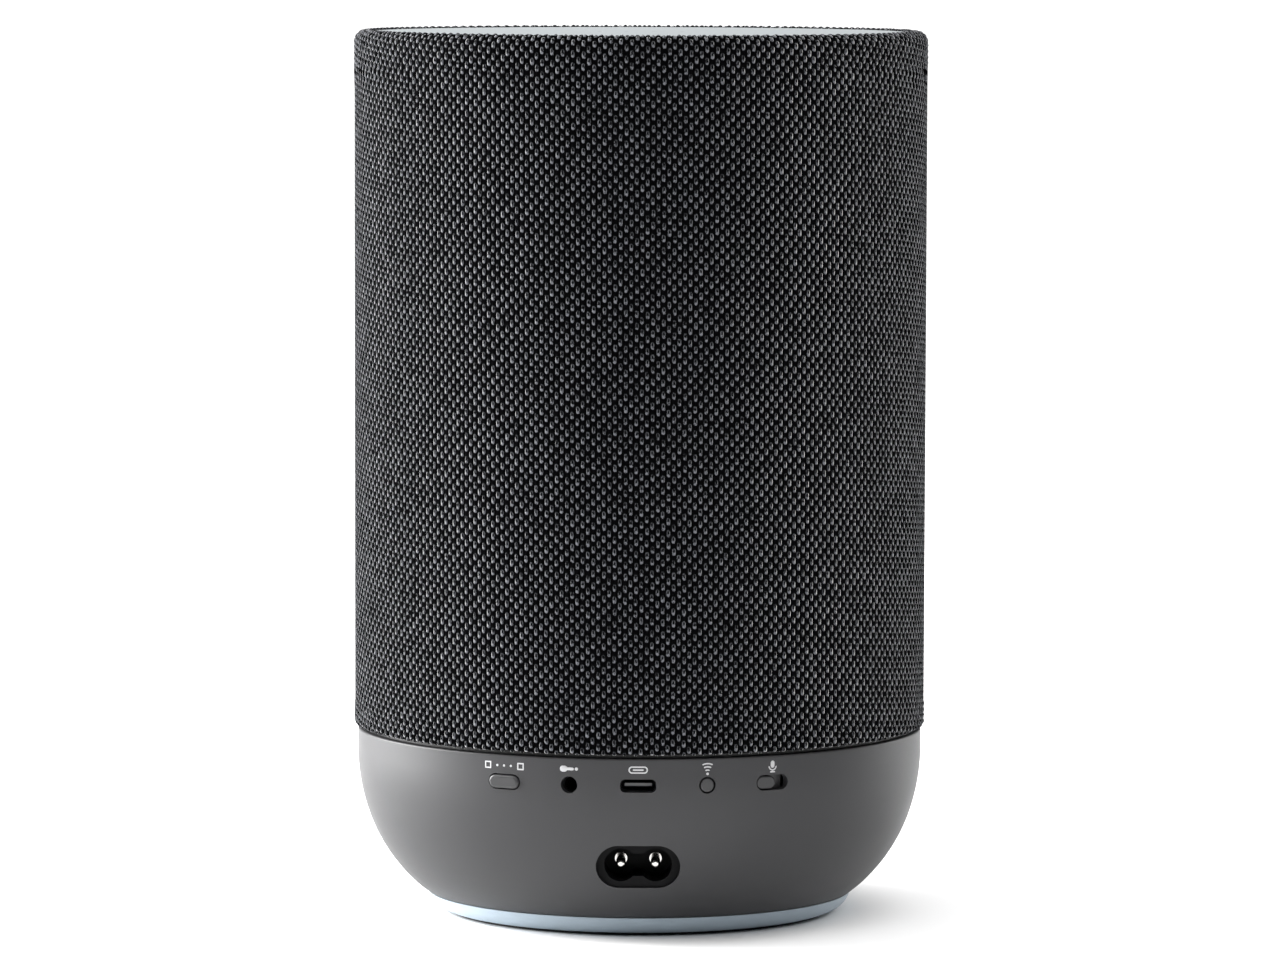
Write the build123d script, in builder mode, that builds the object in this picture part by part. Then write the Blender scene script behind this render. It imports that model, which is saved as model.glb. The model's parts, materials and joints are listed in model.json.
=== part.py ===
from build123d import *
import os
from math import asin, copysign, cos, degrees, radians, sin

# A table-top smart speaker: a cylinder of stretched fabric on a bowl-shaped plastic base.
# Millimetres, +Z up, Z = 0 is the table, X = Y = 0 is the speaker's axis.
# The side with the ports faces -Y, and +X is to the right of someone looking at them.

# ---------------------------------------------------------------- driving dimensions
HEIGHT = 225.0               # table to the crest of the fabric rim
SLEEVE_RADIUS = 73.0         # outside of the fabric
SLEEVE_BOTTOM = 48.0         # lower edge of the fabric
SLEEVE_THICKNESS = 0.9
SLEEVE_TUCK = 0.5            # flat crest before the fabric turns down inside the rim
HEM_LIP = 0.3                # fabric folded under the grille
RIM_ROLL = 3.0               # radius of the rolled top rim
HEM_ROLL = 1.2               # radius of the fabric's lower edge

LIP_HEIGHT = 47.2
BOWL_CENTRE_R = 35.3         # centre of the quarter ellipse that is the bowl's side
BOWL_CENTRE_Z = 41.8
BOWL_SEMI_R = 36.8
BOWL_SEMI_Z = 42.9
LIP_RADIUS = BOWL_CENTRE_R + BOWL_SEMI_R
BOWL_WALL = 2.4
BOWL_BOTTOM = 5.0            # underside of the bowl, where the foot ring starts
BOWL_LOWER_EDGE = 2.0        # rounding where the bowl turns under
BOWL_LIP_EDGE = 0.5

FOOT_TOP_RADIUS = 54.2
FOOT_LOW_RADIUS = 50.4
FOOT_LOW = 0.8               # the pale ring ends this far above the table
FOOT_INNER = 41.0
COVER_RADIUS, COVER_LOW = 40.8, 1.4
COVER_SCREW_SEAT = 3.2       # where the heads of the bottom screws bear
SEAM = 0.05                  # gap between flat faces that rest on each other
RUBBER_INNER, RUBBER_OUTER = 42.6, 49.0
RUBBER_TOP = 1.6

PORT_HEIGHT = 40.5           # centre line of the row of ports
PORT_PITCH = 13.7            # degrees between neighbouring ports
CONNECT_ANGLE = -2 * PORT_PITCH
AUX_ANGLE = -PORT_PITCH
USB_ANGLE = 0.0
PAIRING_ANGLE = PORT_PITCH
MUTE_ANGLE = 2 * PORT_PITCH

PILL_LENGTH, PILL_WIDTH = 8.8, 3.9       # openings of the connect button and the mute slide
ROUND_HOLE_RADIUS = 2.1                  # openings of the aux jack and the pairing button
BUTTON_GAP = 0.28                        # between a cap and the edge of its opening
CONNECT_PROUD = 0.6                      # how far the connect button stands out
CONNECT_BACK, PAIRING_BACK, MUTE_BACK = 3.0, 2.9, 3.0    # from the surface to the back of each cap
PAIRING_GAP = 0.38
PAIRING_HEIGHT = 2.8
CAP_FLANGE = 0.9                         # flange behind a cap, which keeps it in its opening
SWITCH_FRONT = 7.2                       # from the surface to the face of each tact switch
PLUNGER_RADIUS, PLUNGER_LENGTH = 0.9, 0.9
MUTE_KNOB_LENGTH = 5.2
MUTE_KNOB_HEIGHT = 2.5
MUTE_PLATE_SIZE, MUTE_PLATE_THICKNESS = (10.6, 5.4), 0.8
MUTE_SWITCH_FRONT = 6.4
AUX_BORE_RADIUS = 1.8                    # takes a 3.5 mm plug
AUX_BORE_DEPTH = 14.0
AUX_COLLAR_RADIUS, AUX_COLLAR_LENGTH = 3.0, 1.6
AUX_BODY_SIZE = (6.4, 5.6)

USB_SLOT_LENGTH, USB_SLOT_WIDTH, USB_SLOT_CORNER = 8.9, 3.3, 1.25
USB_SHELL_LENGTH, USB_SHELL_WIDTH, USB_SHELL_CORNER = 8.94, 3.16, 1.5
USB_MOUTH_LENGTH, USB_MOUTH_WIDTH, USB_MOUTH_CORNER = 8.34, 2.56, 1.2
USB_DEPTH = 7.3
USB_BACK = 0.8               # thickness of the shell's back wall
USB_TONGUE_SIZE = (6.69, 0.7)

INLET_HEIGHT = 19.6          # centre of the mains inlet
INLET_LENGTH, INLET_WIDTH = 20.9, 11.3
PIN_SPACING = 8.6
PIN_RADIUS = 1.18
PIN_TAIL_RADIUS = 0.9        # the thinner end that goes back through the housing
PIN_TIP_Y = -60.0
PIN_ROOT_Y = -50.0
PIN_TAIL_LENGTH = 6.5
PIN_COLLAR = 0.35            # height and overhang of the flat ring at each pin's root
LOBE_RADIUS = 4.1            # the two round halves of the figure-8 cavity
WAIST_WIDTH = 5.6            # the flat stretch between the two halves
INLET_FACE_Y = -62.3         # front face of the inlet inside the bowl's opening
INLET_BACK_Y = -46.0
INLET_CUT_Y = -52.0          # the bowl is cut open from here outwards
INLET_FLANGE = 1.7           # the housing is this much wider than the opening, inside the bowl
INLET_STEP_Y = -57.0         # from here outwards the housing fits the opening

BOARD_LOW = 37.2             # main board, just under the row of ports
BOARD_THICKNESS = 1.6
BOARD_RADIUS = 67.6
BOARD_FLAT = 2.2             # cut off the board's edge behind the ribbon cable
POWER_BOARD_LOW = 13.0
POWER_BOARD_SIZE = (56, 60)
BOARD_BOSS, POWER_BOSS, BOTTOM_BOSS = 3.4, 3.0, 3.2     # radii of the screw bosses
WIRE_HOLE_RADIUS = 1.0
WIRE_RADIUS = 0.9
WIRE_RUN, WIRE_BEND = 5.0, 2.2           # from the mains pins straight back, then down to the board
SHIELD_SIZE, SHIELD_HEIGHT = (30, 24), 3.2
HEATSINK_LENGTH, HEATSINK_WIDTH, HEATSINK_PLATE = 26, 22, 1.6
FIN_COUNT, FIN_THICKNESS, FIN_HEIGHT = 6, 1.4, 3.6
ANTENNA_SIZE, ANTENNA_HEIGHT = (14, 1.0), 5.4
TRANSFORMER_SIZE, TRANSFORMER_HEIGHT = (20, 22), 13.4
FLOOR_TOP = BOWL_BOTTOM + BOWL_WALL

DECK_LOW = 44.8              # plate that closes the base
DECK_TOP = 48.8
DECK_RADIUS = 68.6
SPIGOT_RADIUS = 70.3         # locates the grille cage, seen as the dark gap under the fabric

CAGE_INNER, CAGE_OUTER = 70.6, 72.1
CAGE_BOTTOM = 48.3
CAGE_TOP = 223.9
CAGE_LIP = 0.8               # the cage's inward lip, which rests on the top frame
CAGE_LIP_LOW = 222.8
CAGE_CORNER = 2.0
CAGE_ROWS, CAGE_SLOTS = 5, 15            # rows of slots, and slots across each half turn
CAGE_MARGIN = 6.0            # solid band above the top row and below the bottom row
SLOT_WIDTH = 8.0
SLOT_BRIDGE = 3.0            # solid band between two rows

PANEL_RADIUS = 68.5
PANEL_TOP = 224.5
PANEL_THICKNESS = 2.2
PANEL_EDGE = 0.7
PANEL_RIB_OUTER, PANEL_RIB_INNER, PANEL_RIB_HEIGHT = 66.8, 64.8, 1.6
FRAME_FLOOR = 212.0          # underside of the frame that carries the top panel
FRAME_PLATE = 2.5
FRAME_TOP = 222.0
FRAME_RADIUS = CAGE_INNER - 0.2
TOUCH_BOARD_LOW = 216.0
TOUCH_BOARD_RADIUS = 67.6
TOUCH_POST_RADIUS = 3.2
MIC_CIRCLE = 52.0            # four microphones near the rim of the top panel
MIC_SIZE, MIC_THICKNESS = (3.5, 2.7), 1.1
MIC_HOLE_RADIUS = 0.6
LIGHT_SPACING = 7.0          # status lights in the middle of the top panel
LAMP_SIZE, LAMP_THICKNESS = (2.4, 2.0), 1.0
LIGHT_PIPE_RADIUS = 0.75     # clear rod from each lamp to its hole in the panel
LIGHT_HOLE_RADIUS = 0.8
POST_RADIUS = 3.6            # posts that carry the box and the top frame
DIFFUSER_RADIUS = 44.0       # the two cones that turn the sound outwards

CABINET_RADIUS = 66.0
CABINET_WALL = 3.0
CABINET_BOTTOM = 76.0
CABINET_FLOOR = 5.0
CABINET_TOP = 176.0
GASKET = 1.0
LID_THICKNESS = 4.0
LID_LOW = CABINET_TOP + GASKET
LID_TOP = LID_LOW + LID_THICKNESS

BASKET_RADIUS = 55.0
BASKET_FLANGE = 2.4
WOOFER_THROAT = 49.5         # hole in the cabinet floor
CONE_RADIUS = 42.0
SURROUND = 0.5               # thickness of the rubber roll around the cone
NECK_RADIUS = 13.4
NECK_Z = 90.0
COIL_INNER = 12.8
DUST_CAP_RADIUS = 16.0
POLE_RADIUS = 12.4
GAP_OUTER = 14.0
MAGNET_RADIUS = 36.0
PLATE_RADIUS = 32.0
MOTOR_Z = 104.0              # where the basket ends and the motor starts
TOP_PLATE = 4.0
MAGNET_THICKNESS = 12.0
BACK_PLATE = 5.0

TWEETER_RADIUS = 27.0
DOME_RADIUS = 12.5
TWEETER_MOTOR_RADIUS = 20.0

SCREW_RADIUS = 1.2
SCREW_HOLE = 1.25
SCREW_HEAD = 2.6
SCREW_CROSS = (0.6, 2.6)     # the two strokes of the cross-shaped drive
SCREW_CROSS_DEPTH = 0.8
FIT = 0.1                    # gap between two pieces that locate each other

os.makedirs("parts", exist_ok=True)


# ---------------------------------------------------------------- helpers
def port_plane(angle, depth=0.0, height=PORT_HEIGHT):
    """Plane facing out of the base at a port: x runs along the rim, y runs up."""
    a = radians(angle)
    reach = LIP_RADIUS - depth
    return Plane(
        origin=(reach * sin(a), -reach * cos(a), height),
        x_dir=(cos(a), sin(a), 0),
        z_dir=(sin(a), -cos(a), 0),
    )


def facing_rear(y, height=INLET_HEIGHT):
    """Plane across the mains inlet, facing the person who plugs the lead in."""
    return Plane(origin=(0, y, height), x_dir=(1, 0, 0), z_dir=(0, -1, 0))


def washer(outer, low, high, inner=0.0, places=((0, 0),), mode=Mode.ADD):
    """Upright round slabs, with a hole if inner is given, between two heights."""
    with BuildSketch(Plane.XY.offset(low)) as outline:
        with Locations(*places):
            Circle(outer)
        if inner:
            with Locations(*places):
                Circle(inner, mode=Mode.SUBTRACT)
    extrude(outline.sketch, amount=high - low, mode=mode)


def turned(*points, mode=Mode.ADD):
    """Body of revolution from a closed outline of (radius, height) corners."""
    with BuildSketch(Plane.XZ) as outline:
        with BuildLine() as edge:
            Polyline(*points, close=True)
        make_face(edge.line)
    revolve(outline.sketch, axis=Axis.Z, mode=mode)


def block(centre, size, low, high, mode=Mode.ADD):
    """Upright rectangular slab between two heights."""
    with BuildSketch(Plane.XY.offset(low)) as outline:
        with Locations(centre):
            Rectangle(*size)
    extrude(outline.sketch, amount=high - low, mode=mode)


def dome(edge_radius, edge_height, crest_height, wall):
    """Spherical cap of even thickness, bulging up or down from its round edge."""
    rise = crest_height - edge_height
    ball = (edge_radius**2 + rise**2) / (2 * abs(rise))
    centre = (0, crest_height - copysign(ball, rise))
    pole = copysign(90, rise)
    spread = -copysign(degrees(asin(edge_radius / ball)), rise)
    with BuildSketch(Plane.XZ) as outline:
        with BuildLine() as edge:
            outside = CenterArc(centre, ball, pole, spread)
            inside = CenterArc(centre, ball - wall, pole, spread)
            Line(outside @ 0, inside @ 0)
            Line(outside @ 1, inside @ 1)
        make_face(edge.line)
    revolve(outline.sketch, axis=Axis.Z)


def ring_of(radius, count, start=0.0):
    """Points evenly spaced on a circle about the speaker's axis."""
    angles = [radians(start + 360 * k / count) for k in range(count)]
    return [(radius * cos(a), radius * sin(a)) for a in angles]


def bowl_body(inset, low, high):
    """Solid bowl: a flat bottom, a quarter ellipse up the side, then an upright wall."""
    start = -degrees(asin((BOWL_CENTRE_Z - low) / (BOWL_SEMI_Z - inset)))
    with BuildSketch(Plane.XZ) as outline:
        with BuildLine() as edge:
            side = EllipticalCenterArc(
                (BOWL_CENTRE_R, BOWL_CENTRE_Z),
                BOWL_SEMI_R - inset,
                BOWL_SEMI_Z - inset,
                start_angle=start,
                arc_size=-start,
            )
            Polyline(side @ 1, (LIP_RADIUS - inset, high), (0, high), (0, low), side @ 0)
        make_face(edge.line)
    revolve(outline.sketch, axis=Axis.Z)


def screws(places, low, high, head_high, head_radius=SCREW_HEAD):
    """Pan-head screws standing upright, with the head on top and a cross-shaped drive."""
    washer(SCREW_RADIUS, low, high, places=places)
    washer(head_radius, high, head_high, places=places)
    for place in places:
        block(place, SCREW_CROSS, head_high - SCREW_CROSS_DEPTH, head_high, mode=Mode.SUBTRACT)
        block(place, SCREW_CROSS[::-1], head_high - SCREW_CROSS_DEPTH, head_high, mode=Mode.SUBTRACT)


def bowl_room(inset, high):
    """The room inside the bowl up to a height, to hollow the bowl or to trim a piece that fits in it."""
    with BuildPart() as room:
        bowl_body(inset, FLOOR_TOP, high)
    return room.part


# ---------------------------------------------------------------- places used by several pieces
BOTTOM_SCREWS = ring_of(34.0, 4, 45)
DECK_SCREWS = ring_of(62.5, 4, 45)
BOARD_SCREWS = ring_of(47.0, 4, 45)
TOP_SCREWS = ring_of(58.0, 4, 0)
LID_SCREWS = ring_of(59.0, 6, 15)
WOOFER_SCREWS = ring_of(52.6, 4, 45)
POWER_CORNERS = [(-24, -34), (24, -34), (-24, 16), (24, 16)]
MICS = ring_of(MIC_CIRCLE, 4, 45)
LIGHTS = [(LIGHT_SPACING * (k - 1.5), 0) for k in range(4)]
WIRE_PLACES = [(57.5, -2.0), (57.5, 2.0)]
TOUCH_POSTS = ring_of(48.0, 4)
CABLE_Y, CABLE_THICKNESS, CABLE_WIDTH = 66.7, 0.3, 12.0
CABLE_SLOT = (CABLE_WIDTH + 1.0, 1.4)
BOARD_TOP = BOARD_LOW + BOARD_THICKNESS
POWER_BOARD_TOP = POWER_BOARD_LOW + BOARD_THICKNESS
TOUCH_BOARD_TOP = TOUCH_BOARD_LOW + BOARD_THICKNESS
PANEL_LOW = PANEL_TOP - PANEL_THICKNESS
FRAME_PLATE_TOP = FRAME_FLOOR + FRAME_PLATE


# ---------------------------------------------------------------- fabric, grille and top
with BuildPart() as fabric_sleeve:
    with BuildSketch(Plane.XZ):
        with BuildLine():
            outside = Line((SLEEVE_RADIUS, SLEEVE_BOTTOM + HEM_ROLL), (SLEEVE_RADIUS, HEIGHT - RIM_ROLL))
            rim = JernArc(outside @ 1, (0, 1), RIM_ROLL, 90)
            tuck = JernArc(rim @ 1 + (-SLEEVE_TUCK, 0), (-1, 0), SLEEVE_THICKNESS, 90)
            Line(rim @ 1, tuck @ 0)
            inside_top = CAGE_TOP + 2 * FIT
            Polyline(
                tuck @ 1,
                tuck @ 1 + (0, -SLEEVE_THICKNESS),
                tuck @ 1 + (SLEEVE_THICKNESS, -SLEEVE_THICKNESS),
                (SLEEVE_RADIUS - RIM_ROLL - SLEEVE_TUCK, inside_top),
                (SLEEVE_RADIUS - RIM_ROLL, inside_top),
            )
            inner_rim = JernArc(
                (SLEEVE_RADIUS - RIM_ROLL, inside_top), (1, 0), RIM_ROLL - SLEEVE_THICKNESS, -90
            )
            hem = JernArc(outside @ 0, (0, -1), HEM_ROLL, -90)
            Polyline(
                inner_rim @ 1,
                (CAGE_OUTER, SLEEVE_BOTTOM + HEM_LIP),
                (CAGE_INNER + FIT, SLEEVE_BOTTOM + HEM_LIP),
                (CAGE_INNER + FIT, SLEEVE_BOTTOM),
                hem @ 1,
            )
        make_face()
    revolve(axis=Axis.Z)

with BuildPart() as grille_cage:
    washer(CAGE_OUTER, CAGE_BOTTOM, CAGE_TOP, inner=CAGE_INNER)
    washer(CAGE_OUTER, CAGE_LIP_LOW, CAGE_TOP, inner=CAGE_INNER - CAGE_LIP)
    fillet(grille_cage.edges().group_by(Axis.Z)[-1].sort_by(SortBy.RADIUS)[-1], CAGE_CORNER)
    slot_pitch = (CAGE_TOP - CAGE_BOTTOM - 2 * CAGE_MARGIN) / CAGE_ROWS
    for row in range(CAGE_ROWS):
        slot_low = CAGE_BOTTOM + CAGE_MARGIN + slot_pitch * row + SLOT_BRIDGE / 2
        with BuildSketch(Plane.XY.offset(slot_low)):
            for k in range(CAGE_SLOTS):
                with Locations(Rotation(0, 0, 180 * k / CAGE_SLOTS)):
                    Rectangle(2.2 * CAGE_OUTER, SLOT_WIDTH)
        extrude(amount=slot_pitch - SLOT_BRIDGE, mode=Mode.SUBTRACT)

with BuildPart() as top_panel:
    washer(PANEL_RADIUS, PANEL_LOW, PANEL_TOP)
    washer(PANEL_RIB_OUTER, PANEL_LOW - PANEL_RIB_HEIGHT, PANEL_LOW, inner=PANEL_RIB_INNER)
    fillet(top_panel.edges().group_by(Axis.Z)[-1], PANEL_EDGE)
    washer(MIC_HOLE_RADIUS, PANEL_LOW, PANEL_TOP, places=MICS, mode=Mode.SUBTRACT)
    washer(LIGHT_HOLE_RADIUS, PANEL_LOW, PANEL_TOP, places=LIGHTS, mode=Mode.SUBTRACT)

with BuildPart() as top_frame:
    washer(FRAME_RADIUS, FRAME_FLOOR, FRAME_PLATE_TOP)
    washer(FRAME_RADIUS, FRAME_FLOOR, FRAME_TOP, inner=PANEL_RADIUS + FIT)
    washer(TOUCH_POST_RADIUS, FRAME_FLOOR, TOUCH_BOARD_LOW, places=TOUCH_POSTS)
    washer(SCREW_HOLE, FRAME_FLOOR, FRAME_PLATE_TOP, places=TOP_SCREWS, mode=Mode.SUBTRACT)
    block((0, CABLE_Y), CABLE_SLOT, FRAME_FLOOR, FRAME_PLATE_TOP, mode=Mode.SUBTRACT)

with BuildPart() as touch_board:
    washer(TOUCH_BOARD_RADIUS, TOUCH_BOARD_LOW, TOUCH_BOARD_TOP)
    washer(SCREW_HEAD + 0.2, TOUCH_BOARD_LOW, TOUCH_BOARD_TOP, places=TOP_SCREWS, mode=Mode.SUBTRACT)

with BuildPart() as microphones:
    for x, y in MICS:
        block((x, y), MIC_SIZE, TOUCH_BOARD_TOP, TOUCH_BOARD_TOP + MIC_THICKNESS)

with BuildPart() as status_lights:
    lamp_top = TOUCH_BOARD_TOP + LAMP_THICKNESS
    for x, y in LIGHTS:
        block((x, y), LAMP_SIZE, TOUCH_BOARD_TOP, lamp_top)
    washer(LIGHT_PIPE_RADIUS, lamp_top, PANEL_TOP - 2 * FIT, places=LIGHTS)

with BuildPart() as top_screws:
    screws(TOP_SCREWS, FRAME_FLOOR - 8, FRAME_PLATE_TOP, FRAME_PLATE_TOP + 1.2, SCREW_HEAD - 0.2)

with BuildPart() as upper_diffuser:
    turned(
        (0, 192),
        (3, 192.3),
        (9, 196),
        (19, 205),
        (34, 210.4),
        (DIFFUSER_RADIUS, FRAME_FLOOR),
        (0, FRAME_FLOOR),
    )

with BuildPart() as upper_posts:
    washer(POST_RADIUS, LID_TOP, FRAME_FLOOR, places=TOP_SCREWS)
    washer(SCREW_HOLE, FRAME_FLOOR - 9, FRAME_FLOOR, places=TOP_SCREWS, mode=Mode.SUBTRACT)

# ---------------------------------------------------------------- sealed speaker box
with BuildPart() as cabinet_body:
    washer(CABINET_RADIUS, CABINET_BOTTOM, CABINET_TOP, inner=CABINET_RADIUS - CABINET_WALL)
    washer(CABINET_RADIUS, CABINET_BOTTOM, CABINET_BOTTOM + CABINET_FLOOR, inner=WOOFER_THROAT)
    washer(4.2, CABINET_TOP - 30, CABINET_TOP, places=LID_SCREWS)
    washer(SCREW_HOLE, CABINET_TOP - 12, CABINET_TOP, places=LID_SCREWS, mode=Mode.SUBTRACT)
    washer(SCREW_HOLE, CABINET_BOTTOM, CABINET_BOTTOM + 4, places=WOOFER_SCREWS, mode=Mode.SUBTRACT)
    cabinet_floor_top = CABINET_BOTTOM + CABINET_FLOOR
    washer(WIRE_HOLE_RADIUS, CABINET_BOTTOM, cabinet_floor_top, places=WIRE_PLACES, mode=Mode.SUBTRACT)

with BuildPart() as cabinet_gasket:
    washer(CABINET_RADIUS - 0.2, CABINET_TOP, LID_LOW, inner=CABINET_RADIUS - CABINET_WALL + 0.2)

with BuildPart() as cabinet_lid:
    washer(CABINET_RADIUS, LID_LOW, LID_TOP, inner=TWEETER_MOTOR_RADIUS + 1)
    washer(SCREW_HOLE, LID_LOW, LID_TOP, places=LID_SCREWS, mode=Mode.SUBTRACT)

with BuildPart() as cabinet_screws:
    screws(LID_SCREWS, CABINET_TOP - 11, LID_TOP, LID_TOP + 1.6)

with BuildPart() as cabinet_posts:
    washer(POST_RADIUS, DECK_TOP, CABINET_BOTTOM, places=DECK_SCREWS)
    washer(SCREW_HOLE, DECK_TOP, DECK_TOP + 9, places=DECK_SCREWS, mode=Mode.SUBTRACT)

with BuildPart() as lower_diffuser:
    turned((0, DECK_TOP), (DIFFUSER_RADIUS, DECK_TOP), (34, 50.6), (20, 55.0), (10, 61.6), (3, 64.6), (0, 65))

# ---------------------------------------------------------------- woofer, firing down
with BuildPart() as woofer_basket:
    flange_low = CABINET_BOTTOM - BASKET_FLANGE
    turned(
        (BASKET_RADIUS, flange_low),
        (BASKET_RADIUS, CABINET_BOTTOM),
        (48.6, CABINET_BOTTOM),
        (33.6, 101.0),
        (33.6, MOTOR_Z),
        (GAP_OUTER + 4, MOTOR_Z),
        (GAP_OUTER + 4, 101.6),
        (31.4, 101.6),
        (31.4, 100.4),
        (45.8, 76.6),
        (49.4, flange_low),
    )
    with BuildSketch(Plane.XY.offset(CABINET_BOTTOM + CABINET_FLOOR)):
        with PolarLocations(40, 4, start_angle=45):
            Rectangle(40, 26)
    extrude(amount=15, mode=Mode.SUBTRACT)
    washer(SCREW_HOLE, flange_low, CABINET_BOTTOM, places=WOOFER_SCREWS, mode=Mode.SUBTRACT)

with BuildPart() as woofer_surround:
    lip_low = flange_low - SURROUND
    with BuildSketch(Plane.XZ):
        with BuildLine():
            roll_out = ThreePointArc((48.2, lip_low), (45.5, lip_low - 2.6), (42.8, lip_low))
            roll_in = ThreePointArc((43.3, flange_low), (45.5, lip_low - 2.1), (47.7, flange_low))
            Polyline(roll_out @ 1, (40.6, lip_low), (40.6, flange_low), roll_in @ 0)
            Polyline(roll_in @ 1, (50.3, flange_low), (50.3, lip_low), roll_out @ 0)
        make_face()
    revolve(axis=Axis.Z)

with BuildPart() as woofer_cone:
    turned(
        (CONE_RADIUS, flange_low),
        (CONE_RADIUS, flange_low + 0.7),
        (36.0, flange_low + 4.4),
        (NECK_RADIUS, NECK_Z + 0.9),
        (NECK_RADIUS, NECK_Z),
        (36.0, flange_low + 3.5),
        (40.6, flange_low),
    )

with BuildPart() as woofer_dust_cap:
    dome(DUST_CAP_RADIUS, 88.2, 81.8, 0.6)

with BuildPart() as voice_coil:
    washer(NECK_RADIUS - 0.02, NECK_Z - 1, MOTOR_Z - 2, inner=COIL_INNER)
    washer(NECK_RADIUS - 0.1, MOTOR_Z - 2, MOTOR_Z + TOP_PLATE + 2, inner=COIL_INNER)

with BuildPart() as woofer_spider:
    waves = 3
    with BuildSketch(Plane.XZ):
        with BuildLine():
            inner_edge, outer_edge, height = NECK_RADIUS + 0.02, 29.0, 95.0
            step = (outer_edge - inner_edge - 4) / waves
            crest = [(inner_edge, height), (inner_edge + 2, height)]
            for k in range(waves):
                left = inner_edge + 2 + step * k
                crest += [(left + step * 0.25, height + 1.2), (left + step * 0.75, height - 1.2)]
                crest += [(left + step, height)]
            crest += [(outer_edge, height), (outer_edge, height + 0.5)]
            back = [(x, z + 0.5) for x, z in reversed(crest[:-2])]
            Polyline(*crest, *back, close=True)
        make_face()
    revolve(axis=Axis.Z)
    washer(34.3, height, height + 0.5, inner=outer_edge)

with BuildPart() as woofer_top_plate:
    washer(PLATE_RADIUS, MOTOR_Z, MOTOR_Z + TOP_PLATE, inner=GAP_OUTER)

with BuildPart() as woofer_magnet:
    washer(MAGNET_RADIUS, MOTOR_Z + TOP_PLATE, MOTOR_Z + TOP_PLATE + MAGNET_THICKNESS, inner=18)

with BuildPart() as woofer_pole_piece:
    back_low = MOTOR_Z + TOP_PLATE + MAGNET_THICKNESS
    washer(PLATE_RADIUS, back_low, back_low + BACK_PLATE)
    washer(POLE_RADIUS, MOTOR_Z - 0.5, back_low)
    washer(4.0, MOTOR_Z - 0.5, back_low + BACK_PLATE, mode=Mode.SUBTRACT)
    chamfer(woofer_pole_piece.edges().group_by(Axis.Z)[-1].sort_by(SortBy.RADIUS)[-1], 1.0)

with BuildPart() as woofer_screws:
    washer(SCREW_RADIUS, flange_low, CABINET_BOTTOM + 3.6, places=WOOFER_SCREWS)
    washer(SCREW_HEAD - 0.4, flange_low - 1.6, flange_low, places=WOOFER_SCREWS)

# ---------------------------------------------------------------- tweeter, firing up
with BuildPart() as tweeter_faceplate:
    washer(TWEETER_RADIUS, LID_TOP, LID_TOP + 2.4, inner=DOME_RADIUS + 2.6)
    fillet(tweeter_faceplate.edges().group_by(Axis.Z)[-1], 0.6)

with BuildPart() as tweeter_surround:
    turned(
        (DOME_RADIUS + 2.5, LID_TOP),
        (DOME_RADIUS + 2.5, LID_TOP + 0.5),
        (DOME_RADIUS + 1.2, LID_TOP + 1.5),
        (DOME_RADIUS + 0.1, LID_TOP + 0.5),
        (DOME_RADIUS + 0.1, LID_TOP),
        (DOME_RADIUS + 0.5, LID_TOP),
        (DOME_RADIUS + 1.2, LID_TOP + 0.9),
        (DOME_RADIUS + 2.1, LID_TOP),
    )

with BuildPart() as tweeter_dome:
    dome(DOME_RADIUS, LID_TOP, LID_TOP + 5.2, 0.4)
    washer(DOME_RADIUS, LID_TOP - 4, LID_TOP + 0.1, inner=DOME_RADIUS - 0.5)

with BuildPart() as tweeter_motor:
    washer(TWEETER_MOTOR_RADIUS, LID_TOP - 16, LID_TOP)
    washer(DOME_RADIUS + 0.8, LID_TOP - 5, LID_TOP, inner=DOME_RADIUS - 1.3, mode=Mode.SUBTRACT)
    washer(DOME_RADIUS + 2.55, LID_TOP - 0.9, LID_TOP, mode=Mode.SUBTRACT)

# ---------------------------------------------------------------- base: shell, foot and deck
bowl_hollow = bowl_room(BOWL_WALL, LIP_HEIGHT + 5)

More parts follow.
